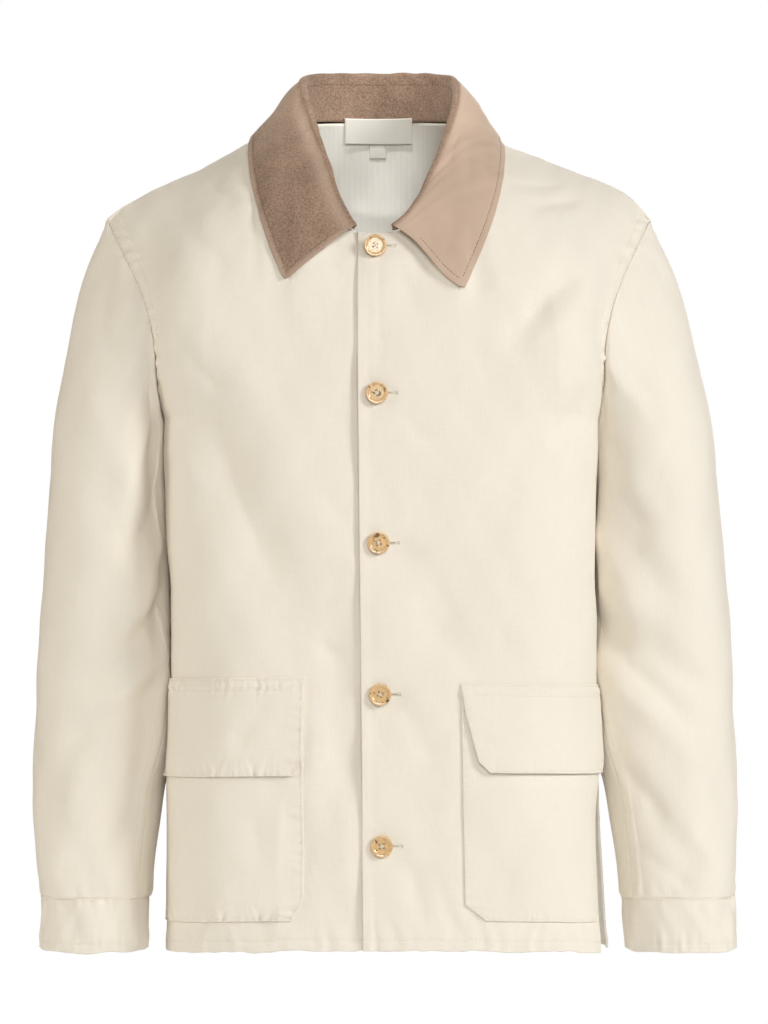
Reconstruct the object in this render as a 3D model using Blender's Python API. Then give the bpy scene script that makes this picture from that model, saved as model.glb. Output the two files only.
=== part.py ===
"""Barn jacket, filled out as if worn, with no wearer.

The garment hangs open and hollow round its own axis. Its origin is the middle of the
neck at the height where the shoulder seams start. +X is the wearer's left, -Y the
front, +Z up. All sizes below are millimetres, and make_object turns them into metres.

A cloth panel is a grid of points on its outer face and the same grid set inwards by the
wall, joined round the edge. A grid is worked out from level sections of the body below
the underarm, and from there by smooth columns that run up to the neck and shoulder seam.
"""

import math

import bmesh
import bpy
import numpy as np
from mathutils import Vector
from mathutils.bvhtree import BVHTree

MM = 0.001

# ---------------------------------------------------------------- driving dimensions

WALL = 1.8                  # cotton twill, with its seam allowances
SEAM_GAP = 0.3              # between two pieces that are sewn to each other
LEAN = 0.0108               # the whole garment leans to the wearer's right as it rises

UNDERARM_HEIGHT = -260.0
SIDE_SEAM_DEPTH = -8.0      # Y of both side seams
FRONT_BOXINESS = 3.2        # exponents of the level sections
BACK_BOXINESS = 2.7
HEM_FRONT = -716.5          # the hem drops a little from the front to the back
HEM_SIDE = -727.5
HEM_BACK = -731.5

BODY_SECTIONS = (
    # height, half width, front depth, back depth
    (-733.0, 196.0, 133.0, 128.0),
    (-600.0, 190.5, 131.0, 122.0),
    (-450.0, 188.0, 129.0, 113.0),
    (-260.0, 192.0, 123.0, 116.0),
)

WALL_CORE_WIDTH = 0.75      # walls are measured from a flat core this wide inside
WALL_CORE_TOP = -120.0

NECK_HALF_WIDTH = 75.0
NECK_FRONT = -95.0          # Y of the neck seam at the front and at the back
NECK_BACK = 65.0
NECK_SIDE_ANGLE = 104.0     # where the shoulder seam meets the neck, from the front
NECK_SEAM = (
    # angle from the front, height
    (0.0, -98.0),
    (15.0, -96.0),
    (30.0, -82.5),
    (45.0, -59.0),
    (60.0, -34.0),
    (80.0, -10.0),
    (104.0, 4.0),
    (140.0, 11.0),
    (180.0, 12.0),
)

SHOULDER_SETTLE = 1 / 6     # part of the shoulder seam that eases into its own height
SHOULDER_RIDGE = (
    # across, height on the wearer's left, height on the wearer's right
    (72.0, 5.0, 5.0),
    (125.0, -16.0, -16.0),
    (156.0, -29.0, -31.0),
    (178.0, -37.5, -42.0),
    (195.0, -43.5, -50.5),
    (213.0, -52.0, -60.5),
    (230.0, -65.0, -70.0),
    (242.0, -79.0, -79.5),
)

ARMHOLE_FRONT = (
    # share of the way up, across, depth, height
    (0.00, 192.0, -8.0, -260.0),
    (0.13, 193.5, -38.0, -250.0),
    (0.28, 195.5, -64.0, -222.0),
    (0.40, 197.0, -72.0, -194.0),
    (0.50, 201.5, -69.0, -170.0),
    (0.61, 209.0, -57.0, -147.0),
    (0.73, 218.5, -42.0, -126.0),
    (0.85, 230.0, -21.0, -103.0),
    (1.00, 242.0, 5.0, -79.5),
)
ARMHOLE_BACK = (
    # share of the way up, across, depth, height
    (0.00, 192.0, -8.0, -260.0),
    (0.14, 193.5, 25.0, -248.0),
    (0.30, 197.0, 48.0, -222.0),
    (0.42, 201.0, 57.0, -195.0),
    (0.55, 206.0, 58.0, -166.0),
    (0.68, 214.0, 51.0, -138.0),
    (0.83, 226.0, 34.0, -108.0),
    (1.00, 242.0, 5.0, -79.5),
)

NECK_SHARE = 0.30           # part of a panel's top edge that the neck takes
NECK_SPREAD = {"front": 1.26, "back": 1.0}  # above 1, columns crowd towards the closure
ARMHOLE_REACH = 0.25        # panel share from which the armhole shapes a panel
ARMHOLE_EASE = 1.6
TOP_DIRECTIONS = (
    # share, across, backwards, up: how the columns of a front run into the top edge
    (0.0, 0.0, 0.34, 0.94),
    (0.15, 0.0, 0.60, 0.80),
    (0.30, 0.0, 0.93, 0.37),
    (0.60, 0.0, 0.98, 0.20),
    (1.0, 0.10, 0.99, 0.10),
)
CHEST_FULLNESS = 1.15       # how far a column keeps its direction at either end
BLADE_FULLNESS = 1.05

CLOSURE = -3.0              # X of the line of buttons
LAP = 16.5                  # each front passes the line of buttons by this
LAP_LIFT = 1.5              # the outer front stands out, the inner one lies back
LAP_SETBACK = 1.3
LAP_FADE = 36.0             # where the two are level with the body again
EDGE_ROLL = 2.2             # the outer front's edge stands out this much more
EDGE_ROLL_WIDTH = 11.0
LAP_PATH = 312.0            # length of half a level section at the closure
EDGE_ROLL_TOP = (-110.0, -170.0)    # heights between which that sets in
LAP_DIVISION = (0.0, 0.22, 0.55)    # columns in the lap, as parts of its width
VENT_TOP = -556.0           # side vent, which falls open on the wearer's left
VENT_FADE = 150.0
VENT_CUT_BACK = 0.085
VENT_SWING = 9.0
VENT_SHARES = (0.72, 0.92)  # panel shares where the swing starts and is full

SLEEVE_TOP_RING = -300.0    # level ring where the sleeve's head ends
SLEEVE_END = -677.0
CUFF_END = -725.0
SLEEVE_ROUNDNESS = 2.25
SLEEVE_RINGS = (
    # height, inner, outer on the wearer's left, outer on the right, front, back
    (-726.0, 211.5, 309.0, 305.0, -72.0, 24.0),
    (-677.0, 209.5, 308.0, 304.5, -73.0, 27.0),
    (-650.0, 207.5, 310.5, 309.0, -71.0, 35.0),
    (-614.0, 202.5, 312.5, 311.5, -66.0, 45.0),
    (-578.0, 197.0, 313.0, 312.5, -61.0, 56.0),
    (-543.0, 187.0, 313.0, 312.0, -57.0, 68.0),
    (-507.0, 183.0, 311.5, 310.0, -55.0, 78.0),
    (-436.0, 181.0, 309.0, 305.0, -57.0, 88.0),
    (-365.0, 182.0, 304.5, 300.5, -64.0, 87.0),
    (-300.0, 185.0, 297.5, 293.5, -70.0, 82.0),
)
SLEEVE_HEAD_CORE = (214.0, -2.0, -170.0)    # middle of the arm inside the shoulder
SLEEVE_HEAD_BLEND = 60.0    # height over which the wall's core turns towards it
HEAD_FULLNESS = 0.6         # how far the sleeve keeps the shoulder's direction
HEAD_LEAVE = (0.05, 0.60, 0.8)      # how it leaves the armhole outwards: low, more, power
HEAD_FORWARD = 0.36
HEAD_DOWN = 0.80
HEAD_SPREAD = 0.10          # outwards still at the level ring, on the outer side
SLEEVE_FOLD_START = (0.75, 1.15)    # rise where folds set in, and where they end
SLEEVE_FOLD_END = (1.97, 1.82)
RIGHT_FOLDS_TURN = 1.08     # the right sleeve's folds lie further round than the left's
SLEEVE_TURN_STEP = 180.0 / 10       # degrees between columns, as the armhole is divided
SLEEVE_FRONT_SEAM = 36.0    # degrees round the arm from its inner side, by the front
SLEEVE_BACK_SEAM = 252.0
SLEEVE_SEAM_GAP = 0.2       # degrees
SLEEVE_TWIST = (
    # height, degrees by which the seams turn in towards the body
    (-677.0, 0.0),
    (-560.0, 0.0),
    (-510.0, 2.0),
    (-475.0, 11.0),
    (-436.0, 19.0),
    (-365.0, 21.0),
    (-300.0, 15.0),
)
SLEEVE_CLEARANCE = 1.6      # between a sleeve and the side of the body
SLEEVE_CLEAR_FADE = 12.0
SLEEVE_STITCH = 1.5 * SEAM_GAP      # from the armhole's edge, outwards
CUFF_PROUD = 0.6            # the turned-up band is thicker than the sleeve

SEARCH = 150.0              # how far outside its place a point looks for the cloth below

COLLAR_WALL = 2.0
COLLAR_FOLD_RADIUS = (3.0, 1.7)     # at the back and at the front ends
COLLAR_SEAM_RISE = (0.4, 1.7)       # from the panels, at the back and at the front ends
COLLAR_SEAM_TURN = (0.70, 0.88)     # shares between which that changes
COLLAR_LEAVE = (0.9, -0.4)          # how the fall leaves the fold: outwards, up
COLLAR_SAG = 0.35                   # how it drops onto the edge
COLLAR_FOLD_TURNS = (180.0, 130.0, 90.0, 50.0, 0.0)     # degrees over the fold
COLLAR_REST = (
    # share from the back to the end, from the cloth to the middle of the collar's edge
    (0.0, 3.5),
    (0.3, 3.4),
    (0.42, 3.7),
    (0.55, 3.0),
    (0.75, 2.4),
    (1.0, 2.4),
)
COLLAR_LIFT = 0.9           # further off it between the fold and the edge
COLLAR_BULGE = (
    # share from the back to the end, how strongly the fall rolls outwards
    (0.0, 0.9),
    (0.3, 1.5),
    (0.6, 1.5),
    (1.0, 0.7),
)
COLLAR_START_LEFT = 9.2     # neck angle where the collar starts on each side
COLLAR_START_RIGHT = 16.4
COLLAR_FOLD = (
    # share from the back to the end, across on the left, on the right, depth, height
    (0.00, 0.0, 0.0, 62.0, 53.0),
    (0.12, 30.0, 30.0, 58.0, 52.8),
    (0.25, 57.0, 56.0, 44.0, 51.0),
    (0.36, 69.0, 66.5, 24.0, 45.0),
    (0.45, 71.0, 65.0, 6.0, 33.0),
    (0.55, 66.5, 59.0, -16.0, 11.5),
    (0.65, 59.5, 52.5, -38.0, -11.0),
    (0.75, 51.0, 45.0, -58.0, -34.0),
    (0.85, 38.5, 36.5, -80.0, -62.0),
    (0.93, 25.0, 27.5, -92.5, -82.5),
    (1.00, 12.5, 20.8, -99.5, -93.0),
)
COLLAR_EDGE = (
    # share, across and height on the wearer's left, then on the right, depth
    (0.00, 0.0, 0.0, 0.0, 0.0, 76.0),
    (0.12, 38.0, 0.0, 38.0, 0.0, 72.0),
    (0.25, 74.0, -4.0, 74.0, -4.0, 56.0),
    (0.36, 98.0, -9.0, 99.0, -9.0, 30.0),
    (0.45, 108.0, -12.0, 109.5, -12.0, 6.0),
    (0.55, 111.5, -22.0, 113.0, -21.0, -22.0),
    (0.65, 109.5, -43.0, 111.5, -42.0, -50.0),
    (0.75, 104.0, -68.0, 107.0, -66.0, -74.0),
    (0.85, 95.0, -96.0, 100.5, -91.0, -93.0),
    (0.93, 85.0, -121.0, 92.5, -115.0, -105.0),
    (1.00, 72.5, -149.0, 82.0, -141.0, -114.0),
)

POCKET_INNER = {"left": 67.5, "right": 70.0}      # X of the inner edge
POCKET_TOP = {"left": -492.0, "right": -488.0}
POCKET_BOTTOM = -691.0
POCKET_CHAMFER = {"left": (19.0, 14.0), "right": (11.0, 20.0)}   # across, up
POCKET_OUTER_SHARE = 0.93
FLAP_TOP = {"left": -487.0, "right": -482.0}
FLAP_BOTTOM = {"left": -563.5, "right": -566.5}
FLAP_INNER = {
    # share of the way down, inset of the inner edge
    "left": ((0.0, 0.0), (0.35, 4.0), (0.88, 14.5), (1.0, 25.0)),
    "right": ((0.0, 0.0), (0.35, 0.3), (0.78, 1.5), (1.0, 9.0)),
}
FLAP_LIFT = {"left": 3.2, "right": 1.4}           # how far its free edge stands off
FLAP_LIFT_LOSS = 0.5        # part of that lift lost from its inner to its outer edge
FLAP_CURL = 1.5             # power of the lift's growth down the flap
PATCH_WALL = 1.4
PATCH_GAP = 0.35
PATCH_MARGIN = 0.012        # closest that two rows or columns of a patch come
PATCH_SQUEEZE = 0.006       # and where a slanted edge crosses the columns
FLAP_OVERLAP = 0.5          # the flap's inner edge passes the pocket's by this

BUTTON_HEIGHTS = (-109.5, -237.5, -366.5, -496.5, -626.5)
BUTTON_PROFILE = (
    # radius, height above its back
    (8.4, 0.0),
    (9.5, 1.1),
    (9.3, 2.4),
    (8.4, 3.0),
    (7.1, 2.7),
    (6.3, 1.9),
)
BUTTON_SIDES = 20
BUTTON_GAP = 0.3

LABEL = (-29.5, 31.0, -7.0, 15.5)        # left, right, bottom, top
SIZE_TAB = (-7.8, 7.6, -19.5, -7.35)
LABEL_WALL = 0.8
TAG_GAP = 0.7
TAG_GRID = (7, 4)           # points across and down

LAP_COLUMNS = len(LAP_DIVISION)     # columns of a front: its lap, neck and shoulder
FRONT_NECK_COLUMNS = 7              # the collar has the same points along the neck
BACK_NECK_COLUMNS = 6
SHOULDER_COLUMNS = 9
LOWER_ROWS = 13
UPPER_ROWS = 10             # the sleeve has the same points round the armhole
SLEEVE_HEAD_ROWS = 8
SLEEVE_ROWS = 12
CUFF_ROWS = 3
CUFF_COLUMNS = 20
FALL_ROWS = 6

FOLD_OVERRUN = 0.12         # a fold runs past its ends by this part of its length
FOLD_TAPER = 0.35           # and fades over this part
FOLD_CEILING = -60.0        # there are none above this height or along the side seams
FOLD_SEAM_CLEAR = 8.0
FOLD_FADE = 60.0
FRONT_FOLDS = (
    # across and height where it starts, then where it ends, width, depth (+ is a ridge)
    (-172.0, -215.0, -62.0, -480.0, 24.0, -4.6),
    (-128.0, -190.0, -50.0, -390.0, 22.0, 3.0),
    (-44.0, -400.0, -36.0, -600.0, 15.0, -3.4),
    (176.0, -122.0, 112.0, -196.0, 17.0, -4.6),
    (16.0, -370.0, 74.0, -480.0, 20.0, -4.0),
    (150.0, -330.0, 120.0, -470.0, 24.0, 3.0),
    (-120.0, -470.0, -150.0, -700.0, 26.0, 2.4),
    (30.0, -640.0, 26.0, -716.0, 14.0, -1.8),
)
BACK_FOLDS = (
    # across and height where it starts, then where it ends, width, depth (+ is a ridge)
    (-168.0, -190.0, -88.0, -330.0, 22.0, -5.4),
    (170.0, -184.0, 96.0, -350.0, 24.0, -5.0),
    (-60.0, -330.0, -74.0, -640.0, 26.0, 4.6),
    (66.0, -360.0, 58.0, -690.0, 28.0, 4.0),
    (4.0, -420.0, -6.0, -700.0, 24.0, -3.8),
    (-128.0, -400.0, -138.0, -700.0, 24.0, -4.2),
    (128.0, -440.0, 132.0, -716.0, 22.0, -3.6),
)
SLEEVE_FOLDS = (
    # height and degrees round the arm where it starts, then where it ends, width, depth
    (-330.0, 60.0, -420.0, 120.0, 17.0, -4.0),
    (-385.0, 35.0, -440.0, 95.0, 15.0, 3.4),
    (-425.0, 50.0, -500.0, 135.0, 17.0, -3.8),
    (-520.0, 120.0, -650.0, 150.0, 18.0, -3.0),
    (-350.0, 300.0, -470.0, 225.0, 18.0, -4.2),
    (-470.0, 320.0, -560.0, 240.0, 17.0, 3.4),
    (-600.0, 60.0, -660.0, 110.0, 15.0, -2.6),
)

SHARP_ANGLE = 40.0          # degrees; flatter edges are shaded smooth
CREAM = (0.84, 0.79, 0.70, 1.0)
SUEDE = (0.33, 0.24, 0.17, 1.0)
HORN = (0.55, 0.36, 0.18, 1.0)
TAPE = (0.80, 0.78, 0.72, 1.0)


# ------------------------------------------------------------------ curves and grids


def smooth(rows, column, at):
    """Value of a table's column at a place, on a smooth curve through the rows."""
    keys = np.array([row[0] for row in rows], dtype=float)
    values = np.array([row[column] for row in rows], dtype=float)
    slopes = np.gradient(values, keys)
    place = np.clip(np.asarray(at, dtype=float), keys[0], keys[-1])
    low = np.clip(np.searchsorted(keys, place, side="right") - 1, 0, len(keys) - 2)
    span = keys[low + 1] - keys[low]
    t = (place - keys[low]) / span
    return (
        values[low] * (1 + 2 * t) * (1 - t) ** 2
        + slopes[low] * span * t * (1 - t) ** 2
        + values[low + 1] * t * t * (3 - 2 * t)
        + slopes[low + 1] * span * t * t * (t - 1)
    )


def ease(t):
    """0 up to t = 0, 1 from t = 1, and smooth between."""
    t = np.clip(t, 0.0, 1.0)
    return t * t * (3 - 2 * t)


def point(*parts):
    """Arrays of X, Y and Z as one array of points."""
    return np.stack(np.broadcast_arrays(*parts), axis=-1).astype(float)


def run(start, leave, end, arrive, t):
    """Smooth path from start to end, by its direction at either end."""
    t = np.asarray(t, dtype=float)[..., None]
    return (
        start * (1 + 2 * t) * (1 - t) ** 2
        + leave * t * (1 - t) ** 2
        + end * t * t * (3 - 2 * t)
        + arrive * t * t * (t - 1)
    )


def unit(vectors):
    return vectors / np.linalg.norm(vectors, axis=-1, keepdims=True)


def body_outwards(points):
    """Direction in which the body's wall is measured, the same on every panel."""
    core = points * np.array((WALL_CORE_WIDTH, 0.0, 1.0))
    core[..., 2] = np.minimum(core[..., 2], WALL_CORE_TOP)
    return unit(points - core)


def grid_normals(grid):
    """Normals of a grid of points, from its neighbours along rows and columns."""
    along = np.gradient(grid, axis=0)
    across = np.gradient(grid, axis=1)
    return unit(np.cross(along, across))


def fold_relief(folds, first, second):
    """Height of a face's long soft folds at places given by two coordinates."""
    relief = np.zeros(np.broadcast(first, second).shape)
    for a0, b0, a1, b1, width, depth in folds:
        length = math.hypot(a1 - a0, b1 - b0)
        ua, ub = (a1 - a0) / length, (b1 - b0) / length
        along = ((first - a0) * ua + (second - b0) * ub) / length
        off = (first - a0) * ub - (second - b0) * ua
        taper = ease((along + FOLD_OVERRUN) / FOLD_TAPER)
        taper = taper * ease((1 + FOLD_OVERRUN - along) / FOLD_TAPER)
        relief += depth * taper * np.exp(-((off / width) ** 2))
    return relief


# ------------------------------------------------------------------------- the body


def section_point(height, share, face):
    """Point of a level section: share 0 on the centre line, 1 at the side seam."""
    half = smooth(BODY_SECTIONS, 1, height)
    if face == "front":
        deep = smooth(BODY_SECTIONS, 2, height) + SIDE_SEAM_DEPTH
        boxiness, way = FRONT_BOXINESS, -1.0
    else:
        deep = smooth(BODY_SECTIONS, 3, height) - SIDE_SEAM_DEPTH
        boxiness, way = BACK_BOXINESS, 1.0
    path = np.abs(share) * (half + deep)
    across = np.minimum(path, half)
    away = np.where(path > half, half + deep - path, deep)
    scale = ((across / half) ** boxiness + (away / deep) ** boxiness) ** (-1 / boxiness)
    x = across * scale * np.sign(share)
    return point(x, SIDE_SEAM_DEPTH + way * away * scale, height)


def body_half_width(depth, height):
    """Half the body's width below the underarm, at a depth behind or before it."""
    half = smooth(BODY_SECTIONS, 1, height)
    front = smooth(BODY_SECTIONS, 2, height) + SIDE_SEAM_DEPTH
    back = smooth(BODY_SECTIONS, 3, height) - SIDE_SEAM_DEPTH
    off = depth - SIDE_SEAM_DEPTH
    ahead = np.clip(-off / front, 0.0, 1.0)
    behind = np.clip(off / back, 0.0, 1.0)
    width_ahead = (1 - ahead**FRONT_BOXINESS) ** (1 / FRONT_BOXINESS)
    width_behind = (1 - behind**BACK_BOXINESS) ** (1 / BACK_BOXINESS)
    return half * np.where(off < 0, width_ahead, width_behind)


def neck_point(angle, side):
    """Point of the neck seam, by its angle from the front."""
    turn = np.radians(angle)
    middle = (NECK_FRONT + NECK_BACK) / 2
    reach = (NECK_BACK - NECK_FRONT) / 2
    return point(
        side * NECK_HALF_WIDTH * np.sin(turn),
        middle - reach * np.cos(turn),
        smooth(NECK_SEAM, 1, angle),
    )


def ridge_height(across, side):
    left = smooth(SHOULDER_RIDGE, 1, across)
    right = smooth(SHOULDER_RIDGE, 2, across)
    return np.where(np.asarray(side) > 0, left, right)


def top_point(share, side, face):
    """Point of a panel's top edge: the neck seam, then the shoulder seam."""
    reach = np.abs(share)
    side = side * np.where(share < 0, -1.0, 1.0)
    round_neck = np.clip(reach / NECK_SHARE, 0.0, 1.0) ** NECK_SPREAD[face]
    if face == "front":
        neck = neck_point(NECK_SIDE_ANGLE * round_neck, side)
    else:
        neck = neck_point(180.0 - (180.0 - NECK_SIDE_ANGLE) * round_neck, side)
    corner = neck_point(np.full_like(reach, NECK_SIDE_ANGLE), np.ones_like(reach))
    along = np.clip((reach - NECK_SHARE) / (1 - NECK_SHARE), 0.0, 1.0)
    tip = ARMHOLE_FRONT[-1]
    across = corner[..., 0] + (tip[1] - corner[..., 0]) * along
    depth = corner[..., 1] + (tip[2] - corner[..., 1]) * along
    settle = ease(along / SHOULDER_SETTLE)
    height = ridge_height(across, side) * settle + corner[..., 2] * (1 - settle)
    shoulder = point(side * across, depth, height)
    return np.where((reach > NECK_SHARE)[..., None], shoulder, neck)


def armhole_point(share, side, face):
    table = ARMHOLE_FRONT if face == "front" else ARMHOLE_BACK
    x = side * smooth(table, 1, share)
    return point(x, smooth(table, 2, share), smooth(table, 3, share))


def upper_point(share, rise, side, face):
    """Point between the underarm level and the top edge, by panel share and rise."""
    way = 1.0 if face == "front" else -1.0
    mirror = side * np.where(share < 0, -1.0, 1.0)
    fullness = CHEST_FULLNESS if face == "front" else BLADE_FULLNESS

    def column(at):
        base = section_point(np.full_like(at, UNDERARM_HEIGHT), at, face)
        base[..., 0] *= side
        top = top_point(at, side, face)
        chord = np.linalg.norm(top - base, axis=-1)[..., None] * fullness
        reach = np.abs(at)
        arrive = unit(point(
            side * np.sign(at) * smooth(TOP_DIRECTIONS, 1, reach),
            way * smooth(TOP_DIRECTIONS, 2, reach),
            smooth(TOP_DIRECTIONS, 3, reach),
        ))
        leave = point(np.zeros_like(at), np.zeros_like(at), np.ones_like(at))
        return run(base, leave * chord, top, arrive * chord, rise)

    plain = column(share)
    outermost = column(np.where(share < 0, -1.0, 1.0))
    armhole = armhole_point(rise, mirror, face)
    pull = np.clip((np.abs(share) - ARMHOLE_REACH) / (1 - ARMHOLE_REACH), 0.0, 1.0)
    return plain + (armhole - outermost) * (pull**ARMHOLE_EASE)[..., None]


def body_point(share, rise, side, face):
    """Point of the body's outer face; rise 0 at the hem, 1 underarm, 2 at the top."""
    share, rise = np.broadcast_arrays(np.asarray(share, float), np.asarray(rise, float))
    centre = HEM_FRONT if face == "front" else HEM_BACK
    hem = centre + (HEM_SIDE - centre) * share**2
    height = hem + (UNDERARM_HEIGHT - hem) * np.clip(rise, 0.0, 1.0)
    low = section_point(height, share, face)
    low[..., 0] *= side
    high = upper_point(share, np.clip(rise - 1, 0.0, 1.0), side, face)
    points = np.where((rise > 1)[..., None], high, low)
    off_seam = np.abs(points[..., 1] - SIDE_SEAM_DEPTH)
    calm = ease((FOLD_CEILING - points[..., 2]) / FOLD_FADE)
    calm = calm * ease((off_seam - FOLD_SEAM_CLEAR) / FOLD_FADE)
    folds = FRONT_FOLDS if face == "front" else BACK_FOLDS
    relief = fold_relief(folds, points[..., 0], points[..., 2]) * calm
    return points + body_outwards(points) * relief[..., None]


def front_point(share, rise, side):
    """Point of a front, with its lap at the closure and its vent at the side."""
    points = body_point(share, rise, side, "front")
    out = body_outwards(points)
    past = (points[..., 0] - CLOSURE) * side
    near = ease(1 - (past - LAP) / LAP_FADE)
    if side > 0:
        roll = ease(1 - (past + LAP) / EDGE_ROLL_WIDTH) * EDGE_ROLL
        top, full = EDGE_ROLL_TOP
        shift = near * LAP_LIFT + roll * ease((points[..., 2] - top) / (full - top))
        drop = ease((VENT_TOP - points[..., 2]) / VENT_FADE)
        hinge, free = VENT_SHARES
        shift = shift - VENT_SWING * drop * ease((share - hinge) / (free - hinge))
    else:
        shift = -near * LAP_SETBACK
    return points + out * shift[..., None]


def front_columns(side):
    """Panel shares of a front's columns, from its edge at the closure to the side."""
    start = (CLOSURE * side - LAP) / LAP_PATH
    angles = np.linspace(collar_start(side), NECK_SIDE_ANGLE, FRONT_NECK_COLUMNS + 1)
    neck = NECK_SHARE * (angles / NECK_SIDE_ANGLE) ** (1 / NECK_SPREAD["front"])
    lap = start + (neck[0] - start) * np.array(LAP_DIVISION)
    shoulder = np.linspace(NECK_SHARE, 1.0, SHOULDER_COLUMNS + 1)
    return np.concatenate((lap, neck, shoulder[1:]))


def back_columns():
    neck = np.linspace(0.0, NECK_SHARE, BACK_NECK_COLUMNS + 1)
    shoulder = np.linspace(NECK_SHARE, 1.0, SHOULDER_COLUMNS + 1)
    half = np.concatenate((neck, shoulder[1:]))
    return np.concatenate((-half[:0:-1], half))


def panel_rises():
    lower = np.linspace(0.0, 1.0, LOWER_ROWS + 1)
    upper = 1.0 + np.linspace(0.0, 1.0, UPPER_ROWS + 1)
    return np.concatenate((lower, upper[1:]))


def front_reach(rise, side):
    """Panel share of a front's side edge, which is cut back along an open vent."""
    if side < 0:
        return np.ones_like(rise)
    height = HEM_SIDE + (UNDERARM_HEIGHT - HEM_SIDE) * np.clip(rise, 0.0, 1.0)
    return 1.0 - VENT_CUT_BACK * ease((VENT_TOP - height) / VENT_FADE)


def front_grid(side):
    """Grid of a front's outer face, rows from the hem up, columns to the side."""
    rise = panel_rises()[:, None]
    columns = front_columns(side)[None, :]
    start = columns[0, 0]
    reach = front_reach(rise, side)
    share = start + (reach - start) * (columns - start) / (1.0 - start)
    return seam_set_back(front_point(share, rise, side))


def back_grid():
    share = back_columns()[None, :]
    return seam_set_back(body_point(share, panel_rises()[:, None], 1.0, "back"))


def on_front(grid, side, share, rise):
    """Point on a front's own facets, by panel share and rise below the underarm."""
    columns = front_columns(side)
    start = columns[0]
    reach = front_reach(rise, side)
    even = start + (share - start) * (1.0 - start) / (reach - start)
    across = np.interp(even, columns, np.arange(len(columns)))
    up = np.clip(rise, 0.0, 1.0) * LOWER_ROWS
    left = np.clip(np.floor(across).astype(int), 0, len(columns) - 2)
    low = np.clip(np.floor(up).astype(int), 0, LOWER_ROWS - 1)
    u = (across - left)[..., None]
    v = (up - low)[..., None]
    near, far = grid[low, left], grid[low + 1, left + 1]
    below, above = grid[low, left + 1], grid[low + 1, left]
    lower_half = near + (below - near) * u + (far - below) * v
    upper_half = near + (above - near) * v + (far - above) * u
    return np.where(u > v, lower_half, upper_half)


def seam_set_back(points):
    """Draws a panel's edges at the side and shoulder seams back by half the gap."""
    facing = np.sign(points[..., 1].mean() - SIDE_SEAM_DEPTH)
    edge = np.zeros(points.shape[:2])
    edge[-1, :] = 1.0
    edge[:, -1] = 1.0
    if facing > 0:
        edge[:, 0] = 1.0
    points[..., 1] += facing * edge * SEAM_GAP / 2
    return points


# ----------------------------------------------------------------------- the sleeves


def sleeve_ring(height, turn, side):
    """Point of a level ring round the arm; turn 0 faces the body, 90 the front."""
    inner = smooth(SLEEVE_RINGS, 1, height)
    outer = smooth(SLEEVE_RINGS, 2 if side > 0 else 3, height)
    front = smooth(SLEEVE_RINGS, 4, height)
    back = smooth(SLEEVE_RINGS, 5, height)
    angle = np.radians(turn)
    cosine, sine = np.cos(angle), np.sin(angle)
    power = SLEEVE_ROUNDNESS
    stretch = (np.abs(cosine) ** power + np.abs(sine) ** power) ** (-1 / power)
    x = (inner + outer) / 2 - (outer - inner) / 2 * cosine * stretch
    y = (front + back) / 2 - (back - front) / 2 * sine * stretch
    return point(side * x, y, height)


def beside_body(points, side):
    """Moves a sleeve's points outwards where they would reach into the body."""
    across = points[..., 0] * side
    height = np.minimum(points[..., 2], UNDERARM_HEIGHT)
    limit = body_half_width(points[..., 1], height) + SLEEVE_CLEARANCE
    below = ease((UNDERARM_HEIGHT - points[..., 2]) / SLEEVE_CLEAR_FADE)
    pushed = np.maximum(across, limit * below + across * (1 - below))
    points = points.copy()
    points[..., 0] = side * pushed
    return points


def sleeve_axis(height, side):
    inner = smooth(SLEEVE_RINGS, 1, height)
    outer = smooth(SLEEVE_RINGS, 2 if side > 0 else 3, height)
    front = smooth(SLEEVE_RINGS, 4, height)
    back = smooth(SLEEVE_RINGS, 5, height)
    return point(side * (inner + outer) / 2, (front + back) / 2, height)


def sleeve_point(turn, rise, side):
    """Point of a sleeve's outer face; rise 0 at the armhole, 1 at the top ring, 2 down."""
    turn, rise = np.broadcast_arrays(np.asarray(turn, float), np.asarray(rise, float))
    turn = turn % 360.0
    by_front = turn <= 180.0
    up = np.where(by_front, turn, 360.0 - turn) / 180.0
    seam = np.where(
        by_front[..., None],
        armhole_point(up, side, "front"),
        armhole_point(up, side, "back"),
    )
    seam = seam + np.array((side * SLEEVE_STITCH, 0.0, 0.0))
    height = SLEEVE_TOP_RING + (SLEEVE_END - SLEEVE_TOP_RING) * np.clip(rise - 1, 0, 1)
    twisted = turn - smooth(SLEEVE_TWIST, 1, height)
    level = sleeve_ring(np.full_like(turn, SLEEVE_TOP_RING), twisted, side)
    chord = np.linalg.norm(level - seam, axis=-1)[..., None]
    lift = (1 - np.cos(np.radians(turn))) / 2
    low, more, power = HEAD_LEAVE
    leave = unit(point(
        side * (low + more * lift**power),
        -HEAD_FORWARD * np.sin(np.radians(turn)),
        np.full_like(turn, -HEAD_DOWN),
    ))
    arrive = unit(point(side * HEAD_SPREAD * lift, 0.0 * lift, np.full_like(turn, -1.0)))
    leave = leave * chord * HEAD_FULLNESS
    head = run(seam, leave, level, arrive * chord, np.clip(rise, 0.0, 1.0))
    arm = sleeve_ring(height, twisted, side)
    points = np.where((rise > 1)[..., None], arm, head)
    round_arm = turn * (1.0 if side > 0 else RIGHT_FOLDS_TURN)
    relief = fold_relief(SLEEVE_FOLDS, points[..., 2], round_arm)
    fade = 1.0
    for none, full in (SLEEVE_FOLD_START, SLEEVE_FOLD_END):
        fade = fade * ease((rise - none) / (full - none))
    points = points + sleeve_outwards(points, side) * (relief * fade)[..., None]
    return beside_body(points, side)


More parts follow.
